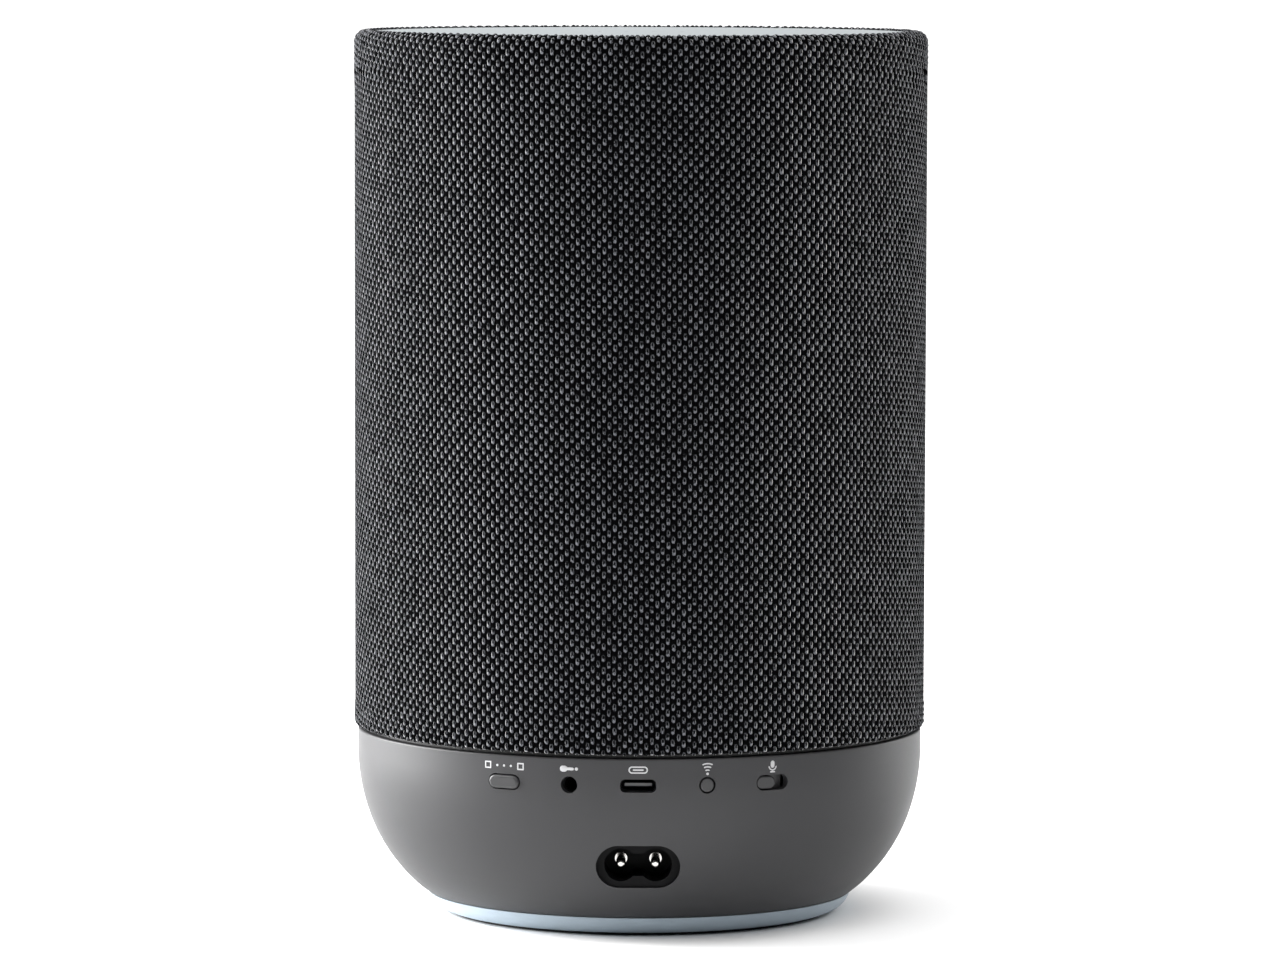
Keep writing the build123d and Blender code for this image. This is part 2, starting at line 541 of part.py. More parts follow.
with BuildPart() as base_shell:
    bowl_body(0.0, BOWL_BOTTOM, LIP_HEIGHT)
    fillet(base_shell.edges().group_by(Axis.Z)[0], BOWL_LOWER_EDGE)
    fillet(base_shell.edges().group_by(Axis.Z)[-1], BOWL_LIP_EDGE)
    add(bowl_hollow, mode=Mode.SUBTRACT)
    washer(BOARD_BOSS, FLOOR_TOP, BOARD_LOW, places=BOARD_SCREWS)
    washer(SCREW_HOLE, BOARD_LOW - 12, BOARD_LOW, places=BOARD_SCREWS, mode=Mode.SUBTRACT)
    washer(POWER_BOSS, FLOOR_TOP, POWER_BOARD_LOW, places=POWER_CORNERS)
    washer(SCREW_HOLE, FLOOR_TOP + 0.8, POWER_BOARD_LOW, places=POWER_CORNERS, mode=Mode.SUBTRACT)
    washer(BOTTOM_BOSS, FLOOR_TOP, FLOOR_TOP + 5, places=BOTTOM_SCREWS)
    washer(SCREW_HOLE, BOWL_BOTTOM, FLOOR_TOP + 4, places=BOTTOM_SCREWS, mode=Mode.SUBTRACT)
    for angle in (CONNECT_ANGLE, MUTE_ANGLE):
        with BuildSketch(port_plane(angle, BOWL_WALL + 1)):
            SlotOverall(PILL_LENGTH, PILL_WIDTH)
        extrude(amount=BOWL_WALL + 3, mode=Mode.SUBTRACT)
    for angle in (AUX_ANGLE, PAIRING_ANGLE):
        with BuildSketch(port_plane(angle, BOWL_WALL + 1)):
            Circle(ROUND_HOLE_RADIUS)
        extrude(amount=BOWL_WALL + 3, mode=Mode.SUBTRACT)
    with BuildSketch(port_plane(USB_ANGLE, BOWL_WALL + 1)):
        RectangleRounded(USB_SLOT_LENGTH, USB_SLOT_WIDTH, USB_SLOT_CORNER)
    extrude(amount=BOWL_WALL + 3, mode=Mode.SUBTRACT)
    with BuildSketch(facing_rear(INLET_CUT_Y)):
        SlotOverall(INLET_LENGTH, INLET_WIDTH)
    extrude(amount=25, mode=Mode.SUBTRACT)

with BuildPart() as foot_ring:
    with BuildSketch(Plane.XZ):
        with BuildLine():
            curve = ThreePointArc(
                (FOOT_TOP_RADIUS, BOWL_BOTTOM - SEAM),
                (FOOT_TOP_RADIUS - 1.2, 2.5),
                (FOOT_LOW_RADIUS, FOOT_LOW),
            )
            Polyline(
                curve @ 1,
                (RUBBER_OUTER + FIT, FOOT_LOW),
                (RUBBER_OUTER + FIT, RUBBER_TOP + FIT),
                (RUBBER_INNER - FIT, RUBBER_TOP + FIT),
                (RUBBER_INNER - FIT, FOOT_LOW),
                (FOOT_INNER, FOOT_LOW),
                (FOOT_INNER, BOWL_BOTTOM - SEAM),
                curve @ 0,
            )
        make_face()
    revolve(axis=Axis.Z)

with BuildPart() as bottom_cover:
    washer(COVER_RADIUS, COVER_LOW, BOWL_BOTTOM - SEAM)
    fillet(bottom_cover.edges().group_by(Axis.Z)[0], 0.5)
    washer(SCREW_HEAD + 0.4, COVER_LOW, COVER_SCREW_SEAT, places=BOTTOM_SCREWS, mode=Mode.SUBTRACT)
    washer(SCREW_HOLE, COVER_SCREW_SEAT, BOWL_BOTTOM, places=BOTTOM_SCREWS, mode=Mode.SUBTRACT)

with BuildPart() as rubber_foot:
    washer(RUBBER_OUTER, 0, RUBBER_TOP, inner=RUBBER_INNER)
    fillet(rubber_foot.edges().group_by(Axis.Z)[0], 0.3)

with BuildPart() as bottom_screws:
    head_low = COVER_SCREW_SEAT - 1.5
    washer(SCREW_RADIUS, COVER_SCREW_SEAT, FLOOR_TOP + 3.5, places=BOTTOM_SCREWS)
    washer(SCREW_HEAD, head_low, COVER_SCREW_SEAT, places=BOTTOM_SCREWS)
    for place in BOTTOM_SCREWS:
        block(place, SCREW_CROSS, head_low, head_low + SCREW_CROSS_DEPTH, mode=Mode.SUBTRACT)
        block(place, SCREW_CROSS[::-1], head_low, head_low + SCREW_CROSS_DEPTH, mode=Mode.SUBTRACT)

with BuildPart() as base_deck:
    washer(DECK_RADIUS, DECK_LOW, LIP_HEIGHT + SEAM)
    washer(SPIGOT_RADIUS, LIP_HEIGHT + SEAM, DECK_TOP)
    washer(SCREW_HOLE, DECK_LOW, DECK_TOP, places=DECK_SCREWS, mode=Mode.SUBTRACT)
    washer(WIRE_HOLE_RADIUS, DECK_LOW, DECK_TOP, places=WIRE_PLACES, mode=Mode.SUBTRACT)
    block((0, CABLE_Y), (CABLE_WIDTH + 1, 1.0), DECK_LOW, DECK_TOP, mode=Mode.SUBTRACT)

with BuildPart() as deck_screws:
    washer(SCREW_RADIUS, DECK_LOW, DECK_TOP + 8, places=DECK_SCREWS)
    washer(SCREW_HEAD, DECK_LOW - 1.6, DECK_LOW, places=DECK_SCREWS)

# ---------------------------------------------------------------- electronics in the base
# notches in the board's edge behind the ports: angle, depth from the base's surface, width
BOARD_NOTCHES = [
    (AUX_ANGLE, 20.0, 7.0),
    (CONNECT_ANGLE, 6.6, 13.0),
    (PAIRING_ANGLE, 6.6, 8.0),
    (MUTE_ANGLE, 6.2, 17.0),
]

with BuildPart() as main_board:
    washer(BOARD_RADIUS, BOARD_LOW, BOARD_TOP)
    block((0, BOARD_RADIUS), (60, 2 * BOARD_FLAT), BOARD_LOW, BOARD_TOP, mode=Mode.SUBTRACT)
    block((0, CABLE_Y - 2.8), (CABLE_WIDTH + 6, 6.4), BOARD_LOW, BOARD_TOP)
    washer(SCREW_HOLE, BOARD_LOW, BOARD_TOP, places=BOARD_SCREWS, mode=Mode.SUBTRACT)
    for angle, depth, width in BOARD_NOTCHES:
        with BuildSketch(port_plane(angle, depth, BOARD_LOW)):
            Rectangle(width, 12.0)
        extrude(amount=20, mode=Mode.SUBTRACT)

with BuildPart() as board_screws:
    screws(BOARD_SCREWS, BOARD_LOW - 10, BOARD_TOP, BOARD_TOP + 1.4)

with BuildPart() as processor_shield:
    block((-16, -4), SHIELD_SIZE, BOARD_TOP, BOARD_TOP + SHIELD_HEIGHT)
    fillet(processor_shield.edges().filter_by(Axis.Z), 1.0)

with BuildPart() as amplifier_heatsink:
    middle_x, middle_y = 22.0, 4.0
    plate_top = BOARD_TOP + HEATSINK_PLATE
    fin_pitch = (HEATSINK_LENGTH - 4.0) / (FIN_COUNT - 1)
    block((middle_x, middle_y), (HEATSINK_LENGTH, HEATSINK_WIDTH), BOARD_TOP, plate_top)
    for k in range(FIN_COUNT):
        fin_x = middle_x + fin_pitch * (k - (FIN_COUNT - 1) / 2)
        block((fin_x, middle_y), (FIN_THICKNESS, HEATSINK_WIDTH), plate_top, plate_top + FIN_HEIGHT)

with BuildPart() as antennas:
    for x in (-46, 46):
        block((x, 34), ANTENNA_SIZE, BOARD_TOP, BOARD_TOP + ANTENNA_HEIGHT)

with BuildPart() as power_board:
    block((0, -9), POWER_BOARD_SIZE, POWER_BOARD_LOW, POWER_BOARD_TOP)
    washer(SCREW_HOLE, POWER_BOARD_LOW, POWER_BOARD_TOP, places=POWER_CORNERS, mode=Mode.SUBTRACT)

with BuildPart() as power_screws:
    screws(POWER_CORNERS, FLOOR_TOP + 1, POWER_BOARD_TOP, POWER_BOARD_TOP + 1.4)

with BuildPart() as power_transformer:
    block((14, 0), TRANSFORMER_SIZE, POWER_BOARD_TOP, POWER_BOARD_TOP + TRANSFORMER_HEIGHT)
    fillet(power_transformer.edges().filter_by(Axis.Z), 1.5)

with BuildPart() as power_capacitors:
    tall, short = [(-7, -14), (-21, -14)], [(-4, 6), (-13, 6), (-22, 6)]
    washer(6.2, POWER_BOARD_TOP, POWER_BOARD_TOP + 18, places=tall)
    washer(4.0, POWER_BOARD_TOP, POWER_BOARD_TOP + 14, places=short)
    fillet(power_capacitors.edges().group_by(Axis.Z)[-1], 0.6)

# ---------------------------------------------------------------- mains inlet
inlet_room = bowl_room(BOWL_WALL + FIT, DECK_LOW)
pin_places = [(-PIN_SPACING / 2, 0), (PIN_SPACING / 2, 0)]

with BuildPart() as inlet_housing:
    with BuildSketch(facing_rear(INLET_BACK_Y)):
        SlotOverall(INLET_LENGTH + 2 * INLET_FLANGE, INLET_WIDTH + 2 * INLET_FLANGE)
    extrude(amount=20)
    add(inlet_room, mode=Mode.INTERSECT)
    with BuildSketch(facing_rear(INLET_STEP_Y)):
        SlotOverall(INLET_LENGTH - 2 * FIT, INLET_WIDTH - 2 * FIT)
    extrude(amount=INLET_STEP_Y - INLET_FACE_Y)
    with BuildSketch(facing_rear(INLET_FACE_Y)):
        SlotOverall(INLET_LENGTH - 2 * FIT, INLET_WIDTH - 2 * FIT)
    extrude(amount=10, mode=Mode.SUBTRACT)
    with BuildSketch(facing_rear(PIN_ROOT_Y)):
        with Locations(*pin_places):
            Circle(LOBE_RADIUS)
        Rectangle(PIN_SPACING, WAIST_WIDTH)
    extrude(amount=20, mode=Mode.SUBTRACT)
    with BuildSketch(facing_rear(INLET_BACK_Y)):
        with Locations(*pin_places):
            Circle(PIN_TAIL_RADIUS + 0.02)
    extrude(amount=10, mode=Mode.SUBTRACT)

with BuildPart() as inlet_pins:
    with BuildSketch(facing_rear(PIN_ROOT_Y)):
        with Locations(*pin_places):
            Circle(PIN_RADIUS)
    extrude(amount=PIN_ROOT_Y - PIN_TIP_Y)
    fillet(inlet_pins.edges().group_by(Axis.Y)[0], 0.8)
    with BuildSketch(facing_rear(PIN_ROOT_Y)):
        with Locations(*pin_places):
            Circle(PIN_RADIUS + PIN_COLLAR)
    extrude(amount=PIN_COLLAR)
    with BuildSketch(facing_rear(PIN_ROOT_Y)):
        with Locations(*pin_places):
            Circle(PIN_TAIL_RADIUS)
    extrude(amount=-PIN_TAIL_LENGTH)

with BuildPart() as inlet_wires:
    for side in (-1, 1):
        x = side * PIN_SPACING / 2
        with BuildLine() as wire_path:
            FilletPolyline(
                (x, PIN_ROOT_Y + PIN_TAIL_LENGTH, INLET_HEIGHT),
                (x, PIN_ROOT_Y + PIN_TAIL_LENGTH + WIRE_RUN, INLET_HEIGHT),
                (x, PIN_ROOT_Y + PIN_TAIL_LENGTH + WIRE_RUN, POWER_BOARD_TOP),
                radius=WIRE_BEND,
            )
        with BuildSketch(facing_rear(PIN_ROOT_Y + PIN_TAIL_LENGTH)) as wire_end:
            with Locations((x, 0)):
                Circle(WIRE_RADIUS)
        sweep(wire_end.sketch, path=wire_path.line)

# ---------------------------------------------------------------- ports, buttons and the mute slide
with BuildPart() as aux_jack:
    with BuildSketch(port_plane(AUX_ANGLE, BOWL_WALL + 0.4)):
        Circle(AUX_COLLAR_RADIUS)
    extrude(amount=-AUX_COLLAR_LENGTH)
    with BuildSketch(port_plane(AUX_ANGLE, BOWL_WALL + 0.4 + AUX_COLLAR_LENGTH)):
        Rectangle(*AUX_BODY_SIZE)
    extrude(amount=-(AUX_BORE_DEPTH - 0.6))
    with BuildSketch(port_plane(AUX_ANGLE, BOWL_WALL)):
        Circle(AUX_BORE_RADIUS)
    extrude(amount=-(AUX_BORE_DEPTH + 0.4), mode=Mode.SUBTRACT)

with BuildPart() as usb_shell:
    with BuildSketch(port_plane(USB_ANGLE, BOWL_WALL + 2 * FIT)):
        RectangleRounded(USB_SHELL_LENGTH, USB_SHELL_WIDTH, USB_SHELL_CORNER)
    extrude(amount=-USB_DEPTH)
    with BuildSketch(port_plane(USB_ANGLE, BOWL_WALL + 2 * FIT)):
        RectangleRounded(USB_MOUTH_LENGTH, USB_MOUTH_WIDTH, USB_MOUTH_CORNER)
    extrude(amount=-(USB_DEPTH - USB_BACK), mode=Mode.SUBTRACT)

with BuildPart() as usb_tongue:
    with BuildSketch(port_plane(USB_ANGLE, BOWL_WALL + 2 * FIT + USB_DEPTH - USB_BACK)):
        Rectangle(*USB_TONGUE_SIZE)
    extrude(amount=USB_DEPTH - 2 * USB_BACK)

with BuildPart() as connect_button:
    with BuildSketch(port_plane(CONNECT_ANGLE, CONNECT_BACK)):
        SlotOverall(PILL_LENGTH - 2 * BUTTON_GAP, PILL_WIDTH - 2 * BUTTON_GAP)
    extrude(amount=CONNECT_BACK + CONNECT_PROUD)
    fillet(connect_button.faces().sort_by(Axis((0, 0, 0), port_plane(CONNECT_ANGLE).z_dir))[-1].edges(), 0.7)
    with BuildSketch(port_plane(CONNECT_ANGLE, CONNECT_BACK)):
        SlotOverall(PILL_LENGTH + 2.0, PILL_WIDTH + 1.6)
    extrude(amount=-CAP_FLANGE)
    with BuildSketch(port_plane(CONNECT_ANGLE, CONNECT_BACK + CAP_FLANGE)):
        Circle(1.2)
    extrude(amount=-1.6)

with BuildPart() as pairing_button:
    with BuildSketch(port_plane(PAIRING_ANGLE, PAIRING_BACK)):
        Circle(ROUND_HOLE_RADIUS - PAIRING_GAP)
    extrude(amount=PAIRING_HEIGHT)
    fillet(pairing_button.faces().sort_by(Axis((0, 0, 0), port_plane(PAIRING_ANGLE).z_dir))[-1].edges(), 0.35)
    with BuildSketch(port_plane(PAIRING_ANGLE, PAIRING_BACK)):
        Circle(ROUND_HOLE_RADIUS + 0.8)
    extrude(amount=-CAP_FLANGE)
    with BuildSketch(port_plane(PAIRING_ANGLE, PAIRING_BACK + CAP_FLANGE)):
        Circle(1.0)
    extrude(amount=-1.7)

with BuildPart() as button_switches:
    for angle in (CONNECT_ANGLE, PAIRING_ANGLE):
        with BuildSketch(port_plane(angle, SWITCH_FRONT)):
            Rectangle(6.0, 3.4)
        extrude(amount=-3.6)
        with BuildSketch(port_plane(angle, SWITCH_FRONT - PLUNGER_LENGTH)):
            Circle(PLUNGER_RADIUS)
        extrude(amount=-PLUNGER_LENGTH)

with BuildPart() as mute_slider:
    knob_x = -(PILL_LENGTH - MUTE_KNOB_LENGTH) / 2 + BUTTON_GAP
    with BuildSketch(port_plane(MUTE_ANGLE, MUTE_BACK)):
        with Locations((knob_x, 0)):
            SlotOverall(MUTE_KNOB_LENGTH, PILL_WIDTH - 2 * BUTTON_GAP)
    extrude(amount=MUTE_KNOB_HEIGHT)
    fillet(mute_slider.faces().sort_by(Axis((0, 0, 0), port_plane(MUTE_ANGLE).z_dir))[-1].edges(), 0.45)
    with BuildSketch(port_plane(MUTE_ANGLE, MUTE_BACK)):
        with Locations((knob_x, 0)):
            RectangleRounded(*MUTE_PLATE_SIZE, 0.8)
    extrude(amount=-MUTE_PLATE_THICKNESS)
    with BuildSketch(port_plane(MUTE_ANGLE, MUTE_BACK + MUTE_PLATE_THICKNESS)):
        with Locations((knob_x - 1.9, 0), (knob_x + 1.9, 0)):
            Rectangle(1.0, 2.4)
    extrude(amount=-2.2)

with BuildPart() as mute_switch:
    with BuildSketch(port_plane(MUTE_ANGLE, MUTE_SWITCH_FRONT)):
        Rectangle(11.0, 3.4)
    extrude(amount=-4.0)

# ---------------------------------------------------------------- cables between the levels
with BuildPart() as touch_cable:
    block((0, CABLE_Y), (CABLE_WIDTH, CABLE_THICKNESS), BOARD_TOP, TOUCH_BOARD_LOW)

with BuildPart() as speaker_wires:
    washer(WIRE_RADIUS, BOARD_TOP, CABINET_BOTTOM + 24, places=WIRE_PLACES)

# ---------------------------------------------------------------- labels and export
pieces = {
    "fabric_sleeve": fabric_sleeve, "grille_cage": grille_cage, "top_panel": top_panel,
    "top_frame": top_frame, "touch_board": touch_board, "microphones": microphones,
    "status_lights": status_lights, "top_screws": top_screws, "upper_diffuser": upper_diffuser,
    "upper_posts": upper_posts, "cabinet_body": cabinet_body, "cabinet_gasket": cabinet_gasket,
    "cabinet_lid": cabinet_lid, "cabinet_screws": cabinet_screws, "cabinet_posts": cabinet_posts,
    "lower_diffuser": lower_diffuser, "woofer_basket": woofer_basket, "woofer_surround": woofer_surround,
    "woofer_cone": woofer_cone, "woofer_dust_cap": woofer_dust_cap, "voice_coil": voice_coil,
    "woofer_spider": woofer_spider, "woofer_top_plate": woofer_top_plate, "woofer_magnet": woofer_magnet,
    "woofer_pole_piece": woofer_pole_piece, "woofer_screws": woofer_screws,
    "tweeter_faceplate": tweeter_faceplate, "tweeter_surround": tweeter_surround,
    "tweeter_dome": tweeter_dome, "tweeter_motor": tweeter_motor, "base_shell": base_shell,
    "foot_ring": foot_ring, "bottom_cover": bottom_cover, "rubber_foot": rubber_foot,
    "bottom_screws": bottom_screws, "base_deck": base_deck, "deck_screws": deck_screws,
    "main_board": main_board, "board_screws": board_screws, "processor_shield": processor_shield,
    "amplifier_heatsink": amplifier_heatsink, "antennas": antennas, "power_board": power_board,
    "power_screws": power_screws,
    "power_transformer": power_transformer, "power_capacitors": power_capacitors,
    "inlet_housing": inlet_housing, "inlet_pins": inlet_pins, "inlet_wires": inlet_wires,
    "aux_jack": aux_jack, "usb_shell": usb_shell, "usb_tongue": usb_tongue,
    "connect_button": connect_button, "pairing_button": pairing_button,
    "button_switches": button_switches, "mute_slider": mute_slider, "mute_switch": mute_switch,
    "touch_cable": touch_cable, "speaker_wires": speaker_wires,
}
for name, piece in pieces.items():
    piece.part.label = name
    export_step(piece.part, f"parts/{name}.step")
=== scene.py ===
import json
from math import cos, pi, radians, sin, tau

import bpy
import numpy as np
from mathutils import Matrix, Vector


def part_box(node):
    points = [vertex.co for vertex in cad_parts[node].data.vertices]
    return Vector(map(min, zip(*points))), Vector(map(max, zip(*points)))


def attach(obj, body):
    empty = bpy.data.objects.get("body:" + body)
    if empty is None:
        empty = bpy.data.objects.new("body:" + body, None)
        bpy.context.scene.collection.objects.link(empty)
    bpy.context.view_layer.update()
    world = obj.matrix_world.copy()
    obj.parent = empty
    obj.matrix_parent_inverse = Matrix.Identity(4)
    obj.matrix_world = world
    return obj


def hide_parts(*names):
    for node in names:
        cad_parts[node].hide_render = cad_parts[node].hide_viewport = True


bl_info = {
    "name": "Fabric Speaker",
    "version": (1, 0, 0),
    "blender": (4, 5, 0),
    "location": "3D View > Sidebar > Speaker",
    "description": "A table-top speaker in knitted fabric on a moulded base, with its stage",
    "category": "Object",
}

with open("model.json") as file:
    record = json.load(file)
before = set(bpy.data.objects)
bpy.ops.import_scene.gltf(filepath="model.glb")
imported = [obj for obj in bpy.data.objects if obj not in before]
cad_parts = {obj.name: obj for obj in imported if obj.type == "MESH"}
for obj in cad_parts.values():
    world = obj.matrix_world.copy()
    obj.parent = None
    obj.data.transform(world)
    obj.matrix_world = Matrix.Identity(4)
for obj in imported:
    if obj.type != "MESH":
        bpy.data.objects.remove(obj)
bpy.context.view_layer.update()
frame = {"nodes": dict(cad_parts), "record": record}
MM = 0.001

# ---------------------------------------------------------------- sizes read from the frame
sleeve_low_corner, sleeve_high_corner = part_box("fabric_sleeve")
shell_low_corner, shell_high_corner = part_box("base_shell")
SLEEVE_RADIUS = sleeve_high_corner.x
SLEEVE_BOTTOM = sleeve_low_corner.z
SLEEVE_TOP = sleeve_high_corner.z
LIP_RADIUS = shell_high_corner.x
LIP_HEIGHT = shell_high_corner.z

# ---------------------------------------------------------------- sizes of the printed marks
PORT_PITCH = radians(13.7)            # angle between neighbouring ports
MARK_HEIGHT = LIP_HEIGHT - 2.7 * MM   # the printed marks stand this high on the base
MARK_LIFT = 0.02 * MM                 # from the base's skin to the back of the ink
STROKE_GAP = 0.001 * MM               # each stroke of a mark lies this far above the one before
INK_THICKNESS = 0.02 * MM

# ---------------------------------------------------------------- lines and points of the sleeve
# the outline's lines that the sleeve's inner face follows, from the tuck down: two in the tuck, two
# on the rolled rim, one low on the wall, the wall's foot and the hem's edge
INNER_LINES = (-1, -3, 50, 46, 12, 4, 0)
HEM_THICKNESS = 0.3 * MM              # the knit thins to this at the hem's edge
POINTS_PER_COLUMN = 4                 # points across each column of stitches

# ---------------------------------------------------------------- floor, lights and camera
FLOOR_REACH, FLOOR_LINES = 30.0, 7    # half the floor's side, and lines of points each way
OVERHEAD_SPREAD = radians(110)        # how much of the sky the light from above fills
LEFT_PLACE, LEFT_WIDTH, LEFT_TALL = (-1.15, 0.35, 0.45), 0.9, 1.3
RIGHT_PLACE, RIGHT_WIDTH, RIGHT_TALL = (1.0, 0.75, 0.4), 0.35, 1.2
SENSOR_WIDTH = 36.0                   # of the camera, in millimetres

# ---------------------------------------------------------------- node sockets without a name of their own
# which sockets of Blender's mix node hold the share, the two colours and the mixed colour
MIX_SHARE, MIX_FIRST, MIX_SECOND, MIX_RESULT = 0, 6, 7, 2


# ---------------------------------------------------------------- meshes
def grid_faces(rows, columns, close_rows=False, close_columns=False):
    """Corner numbers of the quads between neighbouring points of a grid, row by row.

    With a closed direction, the last line of points is joined to the first.
    """
    row = np.arange(rows if close_rows else rows - 1)[:, None]
    column = np.arange(columns if close_columns else columns - 1)[None, :]
    above, beside = (row + 1) % rows, (column + 1) % columns
    corners = (
        row * columns + column,
        row * columns + beside,
        above * columns + beside,
        above * columns + column,
    )
    return np.stack([corner.ravel() for corner in corners], axis=1)


def mesh_piece(name, points, faces):
    """A smooth mesh object of that name from arrays of points and faces, in the main collection."""
    mesh = bpy.data.meshes.new(name)
    mesh.from_pydata(points.reshape(-1, 3).tolist(), [], faces.tolist())
    mesh.polygons.foreach_set("use_smooth", np.full(len(mesh.polygons), True))
    piece = bpy.data.objects.new(name, mesh)
    bpy.context.scene.collection.objects.link(piece)
    return piece


def corner_map(piece, name, across, along):
    """Gives a piece a map with one pair of numbers at each face corner."""
    layer = piece.data.uv_layers.new(name=name)
    layer.data.foreach_set("uv", np.stack([across, along], axis=-1).astype(np.float32).ravel())


# ---------------------------------------------------------------- finishes
class Finish:
    """A material being made: short calls that lay out its nodes and join them.

    Each keyword sets one of the surface's own sockets: metallic=1.0 sets the one named Metallic.
    """

    def __init__(self, name, **surface):
        self.material = bpy.data.materials.new(name)
        self.material.use_nodes = True
        self.tree = self.material.node_tree
        self.tree.nodes.clear()
        self.surface = self.node("ShaderNodeBsdfPrincipled")
        result = self.node("ShaderNodeOutputMaterial")
        self.join(self.surface.outputs[0], result.inputs["Surface"])
        for socket, value in surface.items():
            self.give(socket.replace("_", " ").title().replace("Ior", "IOR"), value)

    def node(self, kind, **settings):
        made = self.tree.nodes.new(kind)
        for key, value in settings.items():
            setattr(made, key, value)
        return made

    def join(self, value, socket):
        """Feeds a socket from a node's output, or sets it to a number, vector or colour."""
        if isinstance(value, bpy.types.NodeSocket):
            self.tree.links.new(value, socket)
        else:
            socket.default_value = value

    def give(self, socket, value):
        """Feeds one of the surface's own sockets."""
        self.join(value, self.surface.inputs[socket])

    def where(self):
        """The point's place in the object's own space, in metres."""
        return self.node("ShaderNodeTexCoord").outputs["Object"]

    def split(self, vector):
        made = self.node("ShaderNodeSeparateXYZ")
        self.join(vector, made.inputs[0])
        return made.outputs

    def joined(self, x, y, z=0.0):
        made = self.node("ShaderNodeCombineXYZ")
        for value, socket in zip((x, y, z), made.inputs):
            self.join(value, socket)
        return made.outputs[0]

    def math(self, operation, *values, clamp=False):
        made = self.node("ShaderNodeMath", operation=operation, use_clamp=clamp)
        for value, socket in zip(values, made.inputs):
            self.join(value, socket)
        return made.outputs[0]

    def stretched(self, vector, scale):
        """Multiplies a vector by scale; a part of scale below 1 draws a pattern out that way."""
        made = self.node("ShaderNodeMapping")
        self.join(vector, made.inputs["Vector"])
        made.inputs["Scale"].default_value = scale
        return made.outputs[0]

    def noise(self, vector, size, detail=2.0, roughness=0.5):
        """Soft noise from 0 to 1 whose blobs are about size across, in metres."""
        made = self.node("ShaderNodeTexNoise")
        self.join(vector, made.inputs["Vector"])
        made.inputs["Scale"].default_value = 1 / size
        made.inputs["Detail"].default_value = detail
        made.inputs["Roughness"].default_value = roughness
        return made.outputs["Fac"]

    def cells(self, vector, size):
        """Distance to the nearest of many scattered points about size apart, as a share of size."""
        made = self.node("ShaderNodeTexVoronoi")
        self.join(vector, made.inputs["Vector"])
        made.inputs["Scale"].default_value = 1 / size
        return made.outputs["Distance"]

    def chance(self, vector):
        """A number from 0 to 1 that jumps wherever the vector changes."""
        made = self.node("ShaderNodeTexWhiteNoise", noise_dimensions="3D")
        self.join(vector, made.inputs["Vector"])
        return made.outputs["Value"]

    def ease(self, value, start, end, low=0.0, high=1.0):
        """Goes smoothly from low to high while value goes from start to end."""
        made = self.node("ShaderNodeMapRange", interpolation_type="SMOOTHSTEP")
        for number, socket in zip((value, start, end, low, high), made.inputs):
            self.join(number, socket)
        return made.outputs[0]

    def scale(self, value, low, high):
        """Turns 0 to 1 into low to high."""
        return self.math("MULTIPLY_ADD", value, high - low, low)

    def blend(self, share, first, second):
        """Mixes two colours: only the first where share is 0, only the second where it is 1."""
        made = self.node("ShaderNodeMix", data_type="RGBA")
        self.join(share, made.inputs[MIX_SHARE])
        self.join(first, made.inputs[MIX_FIRST])
        self.join(second, made.inputs[MIX_SECOND])
        return made.outputs[MIX_RESULT]

    def relief(self, height, depth):
        """Raises the surface's shading by depth, in metres, where height is 1."""
        made = self.node("ShaderNodeBump")
        self.join(height, made.inputs["Height"])
        made.inputs["Distance"].default_value = depth
        self.give("Normal", made.outputs[0])


def rgba(colour, share=1.0):
    """A colour made opaque, and darker or brighter by share."""
    return (*(channel * share for channel in colour[:3]), 1.0)


def moulded(name, colour, grain=0.28 * MM, depth=0.016 * MM, gloss=(0.42, 0.56), tone=0.14, shine=0.5):
    """Moulded plastic: a fine spark-eroded grain, a slow drift of tone and a sheen that wanders with it."""
    finish = Finish(name, specular_ior_level=shine)
    place = finish.where()
    fine = finish.noise(place, grain, detail=3.0, roughness=0.6)
    drift = finish.noise(place, 14 * MM)
    grain_share = 0.7
    speckle = finish.math("MULTIPLY_ADD", fine, grain_share,
                          finish.math("MULTIPLY", drift, 1 - grain_share))
    finish.give("Base Color", finish.blend(speckle, rgba(colour, 1 - tone), rgba(colour, 1 + tone)))
    finish.give("Roughness", finish.scale(fine, *gloss))
    finish.relief(fine, depth)
    return finish.material


def rubber(name, colour):
    """Dull rubber with a dusty bloom and shallow mould marks."""
    finish = Finish(name)
    place = finish.where()
    bloom = finish.noise(place, 3 * MM, detail=4.0, roughness=0.7)
    pores = finish.cells(place, 0.5 * MM)
    finish.give("Base Color", finish.blend(bloom, rgba(colour, 0.8), rgba(colour, 1.5)))
    finish.give("Roughness", finish.scale(bloom, 0.78, 0.95))
    finish.relief(pores, 0.02 * MM)
    return finish.material


def metal(name, colour, roughness, streak=(1.0, 1.0, 0.04), depth=0.004 * MM):
    """Metal with fine lines; the smaller a part of streak, the longer the lines run that way."""
    finish = Finish(name, metallic=1.0)
    drawn = finish.stretched(finish.where(), streak)
    lines = finish.noise(drawn, 0.35 * MM, detail=4.0, roughness=0.65)
    finish.give("Base Color", finish.blend(lines, rgba(colour, 0.86), rgba(colour, 1.05)))
    finish.give("Roughness", finish.scale(lines, roughness * 0.75, roughness * 1.3))
    finish.relief(lines, depth)
    return finish.material


